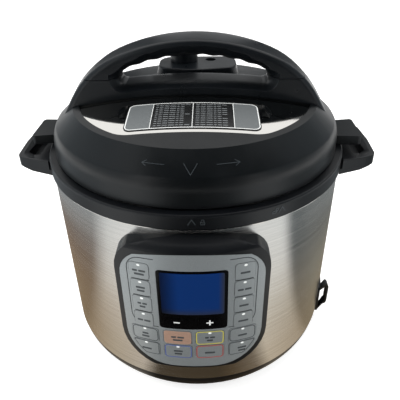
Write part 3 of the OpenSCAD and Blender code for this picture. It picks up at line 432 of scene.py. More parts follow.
@dataclass(frozen=True)
class DisplayCrystal(Finish):
    """Unlit blue liquid crystal behind glossy glass: deep blue that turns to a painted grey towards
    its right and lower edges, standing in for the polariser seen at a slant, and to painted shade
    towards its left edge."""

    # Painted grey towards the right and lower edges, for the polariser seen at a slant.
    painted_slant_grey: str = "#2b2f39"
    half_width_mm: float = 25.0
    foot_mm: float = 121.0
    right_mm: float = 5.0
    low_mm: float = 8.0
    left_mm: float = 14.0
    # Painted shade towards the left edge: what the blue is multiplied by there.
    painted_left_shade: float = 0.2

    def shade(self, coat: Coat) -> None:
        """Blue fading by place to the painted grey and to the painted shade, under a clear coat.

        Args:
            coat: The material in the making.
        """
        coat.put({"Specular IOR Level": 0.15, "Coat Weight": 0.3, "Coat Roughness": 0.04})
        place = add_node(coat.tree, "ShaderNodeTexCoord")
        parts = add_node(coat.tree, "ShaderNodeSeparateXYZ", {0: place.outputs["Object"]})
        # Fades by place: to the painted grey at the right edge and at the lower edge, and to the
        # painted shade at the left edge.
        fades = [
            add_node(
                coat.tree,
                "ShaderNodeMapRange",
                {
                    "Value": parts.outputs[axis],
                    "From Min": start * MM,
                    "From Max": end * MM,
                    "To Min": low,
                },
            ).outputs["Result"]
            for axis, start, end, low in (
                ("X", self.half_width_mm - self.right_mm, self.half_width_mm, 0.0),
                ("Z", self.foot_mm + self.low_mm, self.foot_mm, 0.0),
                ("X", -self.half_width_mm, self.left_mm - self.half_width_mm, self.painted_left_shade),
            )
        ]
        edge = add_node(
            coat.tree,
            "ShaderNodeMath",
            settings={"operation": "MAXIMUM"},
            inputs={0: fades[0], 1: fades[1]},
        )
        tint = add_node(
            coat.tree,
            "ShaderNodeValToRGB",
            {"Fac": edge.outputs["Value"]},
            stops=[(0.0, linear(self.colour)), (1.0, linear(self.painted_slant_grey))],
        )
        darker = add_node(
            coat.tree,
            "ShaderNodeMix",
            settings={"data_type": "RGBA", "blend_type": "MULTIPLY"},
            inputs={0: 1.0, 6: tint.outputs["Color"], 7: fades[2]},
        )
        coat.put({"Base Color": darker.outputs[2]})


@dataclass(frozen=True)
class ClearResin(Finish):
    """Clear moulded resin or glass: light passes through with a faint tint of its own."""

    transmission: float = 1.0
    flow: float = 0.08

    def shade(self, coat: Coat) -> None:
        """Transmission with a trace of moulding flow in the gloss.

        Args:
            coat: The material in the making.
        """
        coat.put({"Transmission Weight": self.transmission, "IOR": 1.49})
        span = (0.0, 1.0)
        coat.vary_gloss(coat.pattern(60.0), self.roughness, self.roughness + self.flow, span)


class Shades:
    """Every finish of the cooker."""

    casing = MouldedPlastic("casing_abs", "#0b0d10", 0.38)
    lid = MouldedPlastic("lid_abs", "#090c0e", 0.36)
    handle = MouldedPlastic("handle_abs", "#101316", 0.32, grain_mm=1.4, depth_mm=0.008)
    rubber = MouldedPlastic("rubber_black", "#161617", 0.8, grain_mm=2.0, depth_mm=0.03)
    silicone = MouldedPlastic(
        "silicone_white", "#dedcd4", 0.5, grain_mm=3.0, depth_mm=0.005, cloud=0.08
    )
    wrap = BrushedSteel("steel_brushed", "#e2e0dc", 0.22)
    pot = BrushedSteel("spun_steel", "#cbc8c2", 0.2, line_mm=1.2, depth_mm=0.004)
    dome = PolishedMetal("steel_polished", "#eae8e3", 0.05, spread=0.02)
    plated = PolishedMetal("zinc_plate", "#a9aaa8", 0.34, haze_mm=8.0, spread=0.08)
    screw = PolishedMetal("nickel_plate", "#b8b5ad", 0.28, haze_mm=4.0)
    cast = CastAluminium("aluminium_cast", "#b3b4b5", 0.42)
    element = CastAluminium("element_sheath", "#55504b", 0.5)
    brass = PolishedMetal("plated_brass", "#c9b27a", 0.25, haze_mm=5.0)
    film = SilverFilm("film_silver", "#999fa1", 0.42)
    glass = MouldedPlastic(
        "glass_black", "#060607", 0.12, grain_mm=30.0, depth_mm=0.0, cloud=0.02
    )
    crystal = DisplayCrystal("crystal_blue", "#012d69", 0.3)
    board = MouldedPlastic("solder_mask", "#1f5a35", 0.35, grain_mm=3.0)
    module = MouldedPlastic("module_blue", "#26457c", 0.3, grain_mm=3.0)
    lens = MouldedPlastic("lamp_lens", "#f1f4f2", 0.2, grain_mm=2.0, depth_mm=0.0)
    cup = ClearResin("clear_resin", "#dfe5e6", 0.06, transmission=0.9)
    # Marks moulded in the black plastic, drawn a lighter grey: painted highlight for the light along
    # their edges.
    moulded = MouldedPlastic("mark_abs", "#33383b", 0.3, grain_mm=3.0, depth_mm=0.002)
    dark_ink = PrintInk("ink_dark", "#2b2f31", 0.55)
    label_ink = PrintInk("ink_label", "#3f4447", 0.55)
    white_ink = PrintInk("ink_white", "#eceeec", 0.5)
    grey_ink = PrintInk("ink_grey", "#626667", 0.4)
    row_ink = PrintInk("ink_rows", "#7d8183", 0.5)
    black_ink = PrintInk("ink_black", "#0a0b0c", 0.35)
    orange_ink = PrintInk("ink_orange", "#a3826f", 0.5)
    yellow_ink = PrintInk("ink_yellow", "#c9c03a", 0.5)
    blue_ink = PrintInk("ink_blue", "#4c5fa0", 0.5)
    red_ink = PrintInk("ink_red", "#b0433c", 0.5)


# ---------- pieces ----------


def body_of(node: str) -> str:
    """The CAD body that a CAD node rides on.

    Args:
        node: Name of the node.

    Returns:
        Name of the body.
    """
    return frame["nodes"][node]["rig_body"]


def as_piece(
    bm: bmesh.types.BMesh,
    name: str,
    finish: Finish,
    body: str,
    replaces: Iterable[str] = (),
) -> bpy.types.Object:
    """Turns a finished bmesh, in metres, into a piece that rides on a body.

    Args:
        bm: The mesh, which is freed.
        name: Name of the piece.
        finish: Its finish.
        body: The CAD body that it rides on.
        replaces: CAD nodes that it stands for.

    Returns:
        The new object, at the origin.
    """
    mesh = bpy.data.meshes.new(name)
    bm.to_mesh(mesh)
    bm.free()
    mesh.materials.append(finish.material())
    made = bpy.data.objects.new(name, mesh)
    bpy.context.scene.collection.objects.link(made)
    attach(made, body)
    names = tuple(replaces)
    if names:
        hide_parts(*names)
    LOG.info("%s: %d faces on %s", name, len(mesh.polygons), body)
    return made


def smooth_by_angle(bm: bmesh.types.BMesh, limit_deg: float) -> None:
    """Shades faces smooth and keeps edges sharp where they fold past a limit.

    Args:
        bm: The mesh.
        limit_deg: Fold from which an edge stays sharp, in degrees.
    """
    limit = math.radians(limit_deg)
    for face in bm.faces:
        face.smooth = True
    for edge in bm.edges:
        edge.smooth = len(edge.link_faces) == 2 and edge.calc_face_angle(0.0) < limit


@dataclass(frozen=True)
class Skin:
    """How a CAD node is redrawn: a merged copy with smooth shading and eased edges.

    Edges that fold past sharp_deg stay sharp, or are rounded by edge_mm where it is given, and
    ease moves the copy's points, from and to millimetres."""

    node: str
    finish: Finish
    edge_mm: float = 0.0
    sharp_deg: float = 32.0
    ease: Callable[[Vector], Vector] | None = None
    merge_mm: float = 0.002
    flat_deg: float = 0.6

    def build(self) -> bpy.types.Object:
        """Makes the copy, which stands for the node.

        Returns:
            The new object.
        """
        bm = bmesh.new()
        bm.from_mesh(frame["nodes"][self.node].data)
        merge = self.merge_mm * MM
        bmesh.ops.remove_doubles(bm, verts=bm.verts, dist=merge)
        bmesh.ops.dissolve_degenerate(bm, edges=bm.edges, dist=merge)
        if self.edge_mm:
            bmesh.ops.dissolve_limit(
                bm, angle_limit=math.radians(self.flat_deg), verts=bm.verts, edges=bm.edges
            )
        if self.ease:
            for vert in bm.verts:
                vert.co = self.ease(vert.co / MM) * MM
            bmesh.ops.recalc_face_normals(bm, faces=bm.faces)
        smooth_by_angle(bm, self.sharp_deg)
        made = as_piece(
            bm,
            f"{self.node}_skin",
            self.finish,
            body_of(self.node),
            [self.node],
        )
        if self.edge_mm:
            eased = made.modifiers.new("eased_edges", "BEVEL")
            eased.width = self.edge_mm * MM
            eased.segments = 2
            eased.limit_method = "ANGLE"
            eased.angle_limit = math.radians(self.sharp_deg)
            eased.use_clamp_overlap = True
            eased.harden_normals = False
        weighted = made.modifiers.new("weighted_normals", "WEIGHTED_NORMAL")
        weighted.keep_sharp = True
        return made


def share(value: float, start: float, end: float) -> float:
    """How far a value lies from start to end.

    Args:
        value: The value.
        start: Where the share is 0.
        end: Where the share is 1.

    Returns:
        The share, held between 0 and 1.
    """
    return min(max((value - start) / (end - start), 0.0), 1.0)


def ease_side_handle(at: Vector) -> Vector:
    """Draws a side handle in plan towards its tip and lets its underside rise there.

    Args:
        at: A point of the handle, in millimetres.

    Returns:
        Where the point goes.
    """
    root_x, tip_x = 135.0, 163.0
    inner_y, outer_y = 20.0, 24.0
    top_z, depth = 198.0, 7.0
    root_wider, tip_wider = 5.5, -1.6
    root_rise, tip_rise = -0.7, 2.2
    out = share(abs(at.x), root_x, tip_x)
    wall = share(abs(at.y), inner_y, outer_y)
    under = share(top_z - at.z, 0.0, depth)
    wider = (root_wider * (1 - out) + tip_wider * out) * wall
    rise = (root_rise * (1 - out) + tip_rise * out) * under
    return Vector((at.x, at.y + math.copysign(wider, at.y), at.z + rise))


def ease_lid_fins(at: Vector) -> Vector:
    """Draws the lid's two fins out to their full reach and width, square to the handle.

    Args:
        at: A point of the lid cover, in millimetres.

    Returns:
        Where the point goes.
    """
    root_x, tip_x, half_y = 131.5, 149.0, 30.0
    reach, widen, aside = 2.5, 0.14, 2.4
    out = share(abs(at.x), root_x, tip_x) if abs(at.y) < half_y else 0.0
    side = math.copysign(1.0, at.x)
    return at + Vector((side * reach, at.y * widen + side * aside, 0.0)) * out


def ease_inlet(at: Vector) -> Vector:
    """Draws the guard loop round the mains inlet in to its slim outline.

    Args:
        at: A point of the inlet bezel, in millimetres.

    Returns:
        Where the point goes.
    """
    start_x, full_x, top_z = 137.0, 139.0, 102.0
    kept_depth, raised = 0.62, 0.1
    if at.x <= start_x:
        return at
    out = share(at.x, start_x, full_x)
    rise = (top_z - at.z) * raised * out
    return Vector((start_x + (at.x - start_x) * kept_depth, at.y, at.z + rise))


def dress_nodes(finish: Finish, *nodes: str) -> None:
    """Gives CAD nodes that stay as they are a finish.

    Args:
        finish: The finish.
        nodes: The CAD nodes.
    """
    for name in nodes:
        mesh = frame["nodes"][name].data
        mesh.materials.clear()
        mesh.materials.append(finish.material())
        LOG.info("%s: carried over", name)


class Surface(Protocol):
    """A surface that flat marks are laid on."""

    def place(self, u: float, v: float, lift: float) -> Vector:
        """Where a mark's point lies.

        Args:
            u: How far across, in millimetres.
            v: How far up.
            lift: How far off the surface.

        Returns:
            The point, in millimetres.
        """


@dataclass(frozen=True)
class PanelSurface:
    """An upright round face, such as the control panel's: u runs round it and v is the height."""

    radius: float

    def place(self, u: float, v: float, lift: float) -> Vector:
        """Where a mark's point lies. See Surface.place."""
        angle = u / self.radius
        r = self.radius + lift
        return Vector((r * math.sin(angle), -r * math.cos(angle), v))


@dataclass(frozen=True)
class ConeSurface:
    """A sloping band round the axis: u runs round it from -Y, v climbs its slope."""

    radius: float
    height: float
    slope_deg: float

    def place(self, u: float, v: float, lift: float) -> Vector:
        """Where a mark's point lies. See Surface.place."""
        s = math.radians(self.slope_deg)
        angle = u / self.radius
        r = self.radius - v * math.cos(s) + lift * math.sin(s)
        z = self.height + v * math.sin(s) + lift * math.cos(s)
        return Vector((r * math.sin(angle), -r * math.cos(angle), z))


@dataclass(frozen=True)
class DomeSurface:
    """The lid's steel dome: u is X and v is Y, on a ball about the axis."""

    ball_r: float
    centre_z: float

    def place(self, u: float, v: float, lift: float) -> Vector:
        """Where a mark's point lies. See Surface.place."""
        height = math.sqrt(self.ball_r**2 - u * u - v * v)
        up = Vector((u, v, height)).normalized()
        return Vector((u, v, height + self.centre_z)) + up * lift


class MarkSheet:
    """Flat marks drawn in millimetres, then given a thickness and laid on a surface."""

    def __init__(self) -> None:
        """Starts an empty sheet."""
        self.bm = bmesh.new()

    def _absorb(self, part: bmesh.types.BMesh) -> None:
        """Takes a finished mark into the sheet and frees it.

        Args:
            part: The mark.
        """
        mesh = bpy.data.meshes.new("mark")
        part.to_mesh(mesh)
        part.free()
        self.bm.from_mesh(mesh)
        bpy.data.meshes.remove(mesh)

    def block(
        self,
        u: float,
        v: float,
        w: float,
        h: float,
        corner: float = 0.0,
        line: float = 0.0,
        turn_deg: float = 0.0,
        keep: float | None = None,
    ) -> "MarkSheet":
        """Adds a rounded rectangle, filled or as an outline.

        Args:
            u: Its middle, across.
            v: Its middle, up.
            w: Width.
            h: Height.
            corner: Corner radius.
            line: Width of the outline, or 0 for a filled mark.
            turn_deg: Turn about its middle, anticlockwise.
            keep: Where given, only what lies further out than this u, on its side, is kept.

        Returns:
            The sheet itself.
        """
        part = bmesh.new()
        made = bmesh.ops.create_grid(part, x_segments=1, y_segments=1, size=0.5)
        bmesh.ops.scale(part, vec=(w, h, 1.0), verts=made["verts"])
        if corner:
            bmesh.ops.bevel(
                part,
                geom=part.verts[:],
                offset=min(corner, w / 2.001, h / 2.001),
                offset_type="OFFSET",
                segments=6,
                profile=0.5,
                affect="VERTICES",
                material=-1,
            )
        if line:
            inner = part.faces[:]
            bmesh.ops.inset_region(
                part, faces=inner, thickness=line, use_even_offset=True, use_boundary=True
            )
            bmesh.ops.delete(part, geom=inner, context="FACES")
        bmesh.ops.rotate(
            part,
            cent=(0, 0, 0),
            matrix=Matrix.Rotation(math.radians(turn_deg), 3, "Z"),
            verts=part.verts,
        )
        bmesh.ops.translate(part, vec=(u, v, 0), verts=part.verts)
        if keep is not None:
            side = math.copysign(1.0, keep)
            bmesh.ops.bisect_plane(
                part,
                geom=part.verts[:] + part.edges[:] + part.faces[:],
                plane_co=(keep, 0, 0),
                plane_no=(-side, 0, 0),
                clear_outer=True,
            )
        self._absorb(part)
        return self

    def stroke(self, points: Iterable[Pair], width: float) -> "MarkSheet":
        """Adds a line of round-ended bars through points.

        Args:
            points: The line's corners.
            width: Its width.

        Returns:
            The sheet itself.
        """
        corners = list(points)
        for (u0, v0), (u1, v1) in zip(corners, corners[1:]):
            run = math.hypot(u1 - u0, v1 - v0)
            turn = math.degrees(math.atan2(v1 - v0, u1 - u0))
            self.block(
                (u0 + u1) / 2, (v0 + v1) / 2, run + width, width, corner=width / 2, turn_deg=turn
            )
        return self

    def lay(
        self,
        surface: Surface,
        name: str,
        finish: Finish,
        body: str,
        thick: float = 0.06,
        lift: float = 0.01,
        step: float = 3.0,
        slot: str | None = None,
        replaces: Iterable[str] = (),
    ) -> bpy.types.Object:
        """Gives the marks their thickness and lays them on a surface.

        Args:
            surface: The surface.
            name: Name of the piece.
            finish: Its finish.
            body: The CAD body that it rides on.
            thick: How far the marks stand up.
            lift: Gap between the marks and the surface.
            step: Longest straight run across the sheet.
            slot: Not used.
            replaces: CAD nodes that the piece stands for.

        Returns:
            The new object.
        """
        bm = self.bm
        for axis in (0, 1):
            values = [v.co[axis] for v in bm.verts]
            low, high = min(values), max(values)
            count = int((high - low) / step)
            normal = Vector((0, 0, 0))
            normal[axis] = 1.0
            for i in range(1, count + 1):
                at = Vector((0, 0, 0))
                at[axis] = low + i * (high - low) / (count + 1)
                bmesh.ops.bisect_plane(
                    bm, geom=bm.verts[:] + bm.edges[:] + bm.faces[:], plane_co=at, plane_no=normal
                )
        bmesh.ops.recalc_face_normals(bm, faces=bm.faces)
        for face in bm.faces:
            if face.normal.z < 0:
                face.normal_flip()
        top = bmesh.ops.extrude_face_region(bm, geom=bm.faces[:], use_keep_orig=True)
        raised = [g for g in top["geom"] if isinstance(g, bmesh.types.BMVert)]
        bmesh.ops.translate(bm, vec=(0, 0, thick), verts=raised)
        for vert in bm.verts:
            u, v, up = vert.co
            vert.co = surface.place(u, v, up + lift) * MM
        bmesh.ops.recalc_face_normals(bm, faces=bm.faces)
        smooth_by_angle(bm, 40.0)
        return as_piece(bm, name, finish, body, replaces)


# ---------- sub-assemblies ----------


class Side(Enum):
    """The cooker's two sides, by the sign of X."""

    LEFT = -1
    RIGHT = 1


@dataclass
class Casing:
    """Feet, base, steel wrap, collar and side handles, with the well and heater inside."""

    wrap_r: float = 135.0
    sensor_travel: float = 3.0
    bead_z: float = 195.2
    bead_r: float = 0.6
    collar_z: float = 203.6
    collar_r: float = 137.0
    mark_line: float = 0.7
    arrow_half: Pair = (2.8, 2.2)
    arrow_u: Pair = (0.4, 70.8)
    shut_lock_u: float = 8.4
    open_lock_u: float = 64.0
    bow_swing: float = 2.2

    def build(self) -> None:
        """Makes every piece of the casing."""
        for skin in (
            Skin("foot_pads", Shades.rubber, 0.4),
            Skin("base_skirt", Shades.casing),
            Skin("bottom_plate", Shades.plated),
            Skin("bottom_screws", Shades.screw),
            Skin("steel_wrap", Shades.wrap),
            Skin("collar", Shades.casing),
            Skin("side_handle_left", Shades.casing, 1.0, ease=ease_side_handle),
            Skin("side_handle_right", Shades.casing, 1.0, ease=ease_side_handle),
            Skin("well", Shades.cast),
            Skin("heating_plate", Shades.cast),
            Skin("heating_element", Shades.element),
            Skin("temperature_sensor", Shades.pot),
            Skin("cooking_pot", Shades.pot),
            Skin("inlet_bezel", Shades.casing, 0.4, ease=ease_inlet),
            Skin("cup_bracket", Shades.casing, 0.3),
            Skin("condensation_cup", Shades.cup),
        ):
            skin.build()
        dress_nodes(Shades.board, "power_board")
        dress_nodes(Shades.brass, "inlet_pins")
        self._spring()
        self._rim_bead()
        self._lock_marks()

    def _spring(self) -> None:
        """The sensor's spring, which stands on its ledge, redrawn on the base with a mesh of its
        own.
        """
        spring = Skin("sensor_spring", Shades.screw, sharp_deg=70.0).build()
        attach(spring, "base")
        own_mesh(spring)

    def _rim_bead(self) -> None:
        """The thin rolled lip of the steel wrap that shows under the collar."""
        bm = bmesh.new()
        made = bmesh.ops.create_circle(bm, segments=10, radius=self.bead_r * MM)
        bmesh.ops.rotate(
            bm,
            cent=(0, 0, 0),
            matrix=Matrix.Rotation(math.radians(90), 3, "X"),
            verts=made["verts"],
        )
        at = Vector((self.wrap_r + self.bead_r * 0.5, 0, self.bead_z))
        bmesh.ops.translate(bm, vec=at * MM, verts=made["verts"])
        bmesh.ops.spin(
            bm,
            geom=bm.verts[:] + bm.edges[:],
            cent=(0, 0, 0),
            axis=(0, 0, 1),
            angle=math.tau,
            steps=192,
            use_merge=True,
        )
        bmesh.ops.recalc_face_normals(bm, faces=bm.faces)
        smooth_by_angle(bm, 60.0)
        as_piece(bm, "wrap_rim_bead", Shades.dome, "base")

    def _lock_marks(self) -> None:
        """An alignment arrow and a padlock for each end of the lid's turn, moulded into the collar
        and drawn a lighter grey than it, as painted highlight."""
        marks = MarkSheet()
        half, rise = self.arrow_half
        foot, tip = self.collar_z - rise, self.collar_z + rise
        locks = ((self.shut_lock_u, 0.0), (self.open_lock_u, self.bow_swing))
        for u, (lock_u, swing) in zip(self.arrow_u, locks):
            marks.stroke([(u - half, foot), (u, tip), (u + half, foot)], self.mark_line)
            self._padlock(marks, lock_u, swing)
        surface = PanelSurface(self.collar_r)
        marks.lay(surface, "collar_lock_marks", Shades.moulded, "base", thick=0.25)

    def _padlock(self, marks: MarkSheet, u: float, swing: float) -> None:
        """A padlock of a body and a bow.

        Args:
            marks: The sheet that takes it.
            u: Its middle, across.
            swing: How far the bow is swung to the side, when the lock is open.
        """
        line, z = self.mark_line, self.collar_z
        marks.block(u, z - 1.0, 3.6, 2.6, corner=0.5, line=line)
        marks.block(u + swing, z + 1.0, 2.6, 3.0, corner=1.2, line=line)


# Lengths of the bars in a key's rows, for each of the patterns.
BAR_ROWS: tuple[tuple[tuple[float, ...], ...], ...] = (
    ((4.2, 5.6), (8.2,)),
    ((7.6,), (6.4,)),
    ((3.2, 4.0), (5.0,)),
    ((5.4,), (6.6,)),
    ((7.8,),),
    ((4.8, 5.4),),
    ((8.6,),),
)
# The pattern on each key, from the top down.
COLUMN_BARS: dict[Side, tuple[int, ...]] = {
    Side.LEFT: (0, 1, 2, 5, 3, 6), Side.RIGHT: (4, 5, 4, 6, 4, 1)
}
# The side, outline, width of its line and bar pattern of each centre key. No width fills it.
CENTRE_KEYS: tuple[tuple[Side, PrintInk, float, int], ...] = (
    (Side.LEFT, Shades.orange_ink, 0.0, 0),
    (Side.RIGHT, Shades.yellow_ink, 0.75, 2),
    (Side.LEFT, Shades.blue_ink, 0.75, 1),
    (Side.RIGHT, Shades.red_ink, 0.75, 6),
)


@dataclass
class ControlPanel:
    """Bezel, silver film, display, keys and everything printed on them.

    Sizes named _u run round the panel from its middle, sizes named _z are heights, and pairs
    are widths and heights."""

    radius: float = 149.0
    key_radius: float = 149.3
    film_radius: float = 147.8
    column_u: float = 41.0
    centre_u: float = 13.4
    top_key_z: float = 164.0
    pitch: float = 17.1
    low_pitch: float = 16.8
    column_rows: int = 4
    lamp_up: float = 5.8
    lamp_spot: Pair = (2.7, 1.9)
    crystal_z: float = 143.75
    crystal_size: Pair = (50.0, 42.5)
    outline_u: float = 30.5
    outline_z: float = 141.5
    outline_size: Pair = (42.0, 71.4)
    outline_end_u: float = 28.6
    divider_u: float = 40.5
    divider_size: Pair = (15.0, 0.7)
    line: float = 0.7
    fine_line: float = 0.55
    low_outline: Pair = (22.4, 15.0)
    centre_outline: Pair = (22.8, 15.0)
    column_bars_drop: float = 1.6
    centre_bars_drop: float = 1.2
    bar_height: float = 1.9
    bar_gap: float = 1.0
    bar_pitch: float = 3.4
    sign_z: float = 113.5
    sign_line: float = 1.2
    minus_length: float = 5.0
    plus_length: float = 5.6
    column_gap: Pair = (17.4, 16.8)
    low_gap: Pair = (24.8, 16.6)
    corner_key: tuple[Pair, ...] = (
        (50.9, 86.4),
        (30.9, 86.4),
        (30.2, 85.7),
        (30.2, 73.5),
        (31.3, 72.3),
        (41.2, 72.3),
        (43.0, 73.6),
        (44.6, 75.3),
        (46.0, 77.0),
        (48.1, 79.6),
        (49.0, 81.1),
        (50.0, 82.8),
        (51.0, 84.4),
        (51.6, 85.6),
        (50.9, 86.4),
    )

    def build(self) -> None:
        """Makes every piece of the panel."""
        Skin("panel_bezel", Shades.casing, 0.5).build()
        Skin("panel_face", Shades.film).build()
        Skin("display_window", Shades.glass).build()
        dress_nodes(Shades.module, "display_module")
        dress_nodes(Shades.board, "control_board")
        Skin("indicator_lenses", Shades.lens).build()
        for node in sorted(frame["nodes"]):
            if node.startswith("key_"):
                black = node in ("key_minus", "key_plus")
                Skin(node, Shades.glass if black else Shades.film).build()
        self._crystal()
        self._face_lines()
        self._column_prints()
        self._centre_prints()
        self._signs()
        self._gap_film()

    def _key_z(self, row: int) -> float:
        """Height of a key's middle.

        Args:
            row: The key's row, counted from the top. The last two are the low rows.

        Returns:
            The height.
        """
        if row < self.column_rows:
            return self.top_key_z - row * self.pitch
        low_row_z = self.top_key_z - (self.column_rows - 1) * self.pitch - self.low_pitch
        return low_row_z - (row - self.column_rows) * self.low_pitch

    def _crystal(self) -> None:
        """The liquid crystal's visible area, just proud of the black glass."""
        MarkSheet().block(0, self.crystal_z, *self.crystal_size, corner=1.5).lay(
            PanelSurface(self.radius),
            "display_crystal",
            Shades.crystal,
            "base",
            thick=0.03,
            slot="display_glass",
        )

    def _face_lines(self) -> None:
        """The printed outlines of the two columns and the bars between their keys."""
        marks = MarkSheet()
        for side in Side:
            marks.block(
                side.value * self.outline_u,
                self.outline_z,
                *self.outline_size,
                corner=12.0,
                line=self.line,
                keep=side.value * self.outline_end_u,
            )
            for row in range(self.column_rows - 1):
                z = self.top_key_z - (row + 0.5) * self.pitch
                marks.block(side.value * self.divider_u, z, *self.divider_size, corner=0.2)
        marks.lay(PanelSurface(self.radius), "face_outlines", Shades.dark_ink, "base")

    def _column_prints(self) -> None:
        """Outlines, bars and lamp spots of the two columns' keys."""
        for side in Side:
            u = side.value * self.column_u
            for row, pattern in enumerate(COLUMN_BARS[side]):
                z = self._key_z(row)
                node = f"key_{side.name.lower()}_{row + 1}"
                marks = self._bars(u, z - self.column_bars_drop, pattern)
                if row == self.column_rows:
                    marks.block(u, z, *self.low_outline, corner=3.6, line=self.line)
                elif row > self.column_rows:
                    corners = [(side.value * x, up) for x, up in self.corner_key]
                    marks.stroke(corners, self.fine_line)
                marks.lay(PanelSurface(self.key_radius), f"{node}_print", Shades.label_ink, node)
                self._lamp_dot(u, z, node)

    def _centre_prints(self) -> None:
        """Outlines, bars and lamp spots of the four centre keys."""
        surface = PanelSurface(self.key_radius)
        for i, (side, ink, line, pattern) in enumerate(CENTRE_KEYS):
            u = side.value * self.centre_u
            z = self._key_z(self.column_rows + i // 2)
            node = f"key_centre_{i + 1}"
            MarkSheet().block(u, z, *self.centre_outline, corner=2.8, line=line).lay(
                surface, f"{node}_outline", ink, node
            )
            self._bars(u, z - self.centre_bars_drop, pattern).lay(
                surface, f"{node}_print", Shades.label_ink, node, lift=0.08
            )
            if i in (1, 2):
                self._lamp_dot(u, z, node)

    def _signs(self) -> None:
        """The minus and plus signs on the two keys under the display."""
        surface = PanelSurface(self.key_radius)
        u, z, line, long = self.centre_u, self.sign_z, self.sign_line, self.plus_length
        MarkSheet().block(-u, z, self.minus_length, line, corner=0.3).lay(
            surface, "minus_sign", Shades.white_ink, "key_minus"
        )
        plus = MarkSheet().block(u, z, long, line, corner=0.3)
        plus.block(u, z, line, long, corner=0.3)
        plus.lay(surface, "plus_sign", Shades.white_ink, "key_plus")

    def _lamp_dot(self, u: float, z: float, node: str) -> None:
        """The white diffuser spot over a key's lamp, which stays when the key goes in.

        Args:
            u: Middle of the key, across.
            z: Middle of the key, up.
            node: The key.
        """
        MarkSheet().block(u, z + self.lamp_up, *self.lamp_spot, corner=0.9).lay(
            PanelSurface(self.key_radius),
            f"{node}_lamp",
            Shades.lens,
            "base",
            thick=0.05,
            lift=0.09,
        )

    def _gap_film(self) -> None:
        """Strips of silver film behind the gaps round the keys, as on a one-piece keypad."""
        marks = MarkSheet()
        for side in Side:
            for row in range(self.column_rows):
                u, z = side.value * self.column_u, self._key_z(row)
                marks.block(u, z, *self.column_gap, corner=2.0, line=1.5)
            for row in range(self.column_rows, self.column_rows + 2):
                for across in (self.column_u, self.centre_u):
                    u, z = side.value * across, self._key_z(row)
                    marks.block(u, z, *self.low_gap, corner=2.0, line=1.4)
        marks.lay(
            PanelSurface(self.film_radius),
            "gap_film",
            Shades.film,
            "base",
            thick=0.02,
            lift=0.005,
        )

    def _bars(self, u: float, z: float, pattern: int) -> MarkSheet:
        """Rows of plain bars that mark a key.

        Args:
            u: Middle of the key, across.
            z: Middle of the rows.
            pattern: Which of the bar patterns.

        Returns:
            A sheet with the bars.
        """
        rows = BAR_ROWS[pattern]
        marks = MarkSheet()
        v = z + self.bar_pitch * (len(rows) - 1) / 2
        for row in rows:
            at = u - (sum(row) + self.bar_gap * (len(row) - 1)) / 2
            for width in row:
                marks.block(at + width / 2, v, width, self.bar_height, corner=0.6)
                at += width + self.bar_gap
            v -= self.bar_pitch
        return marks


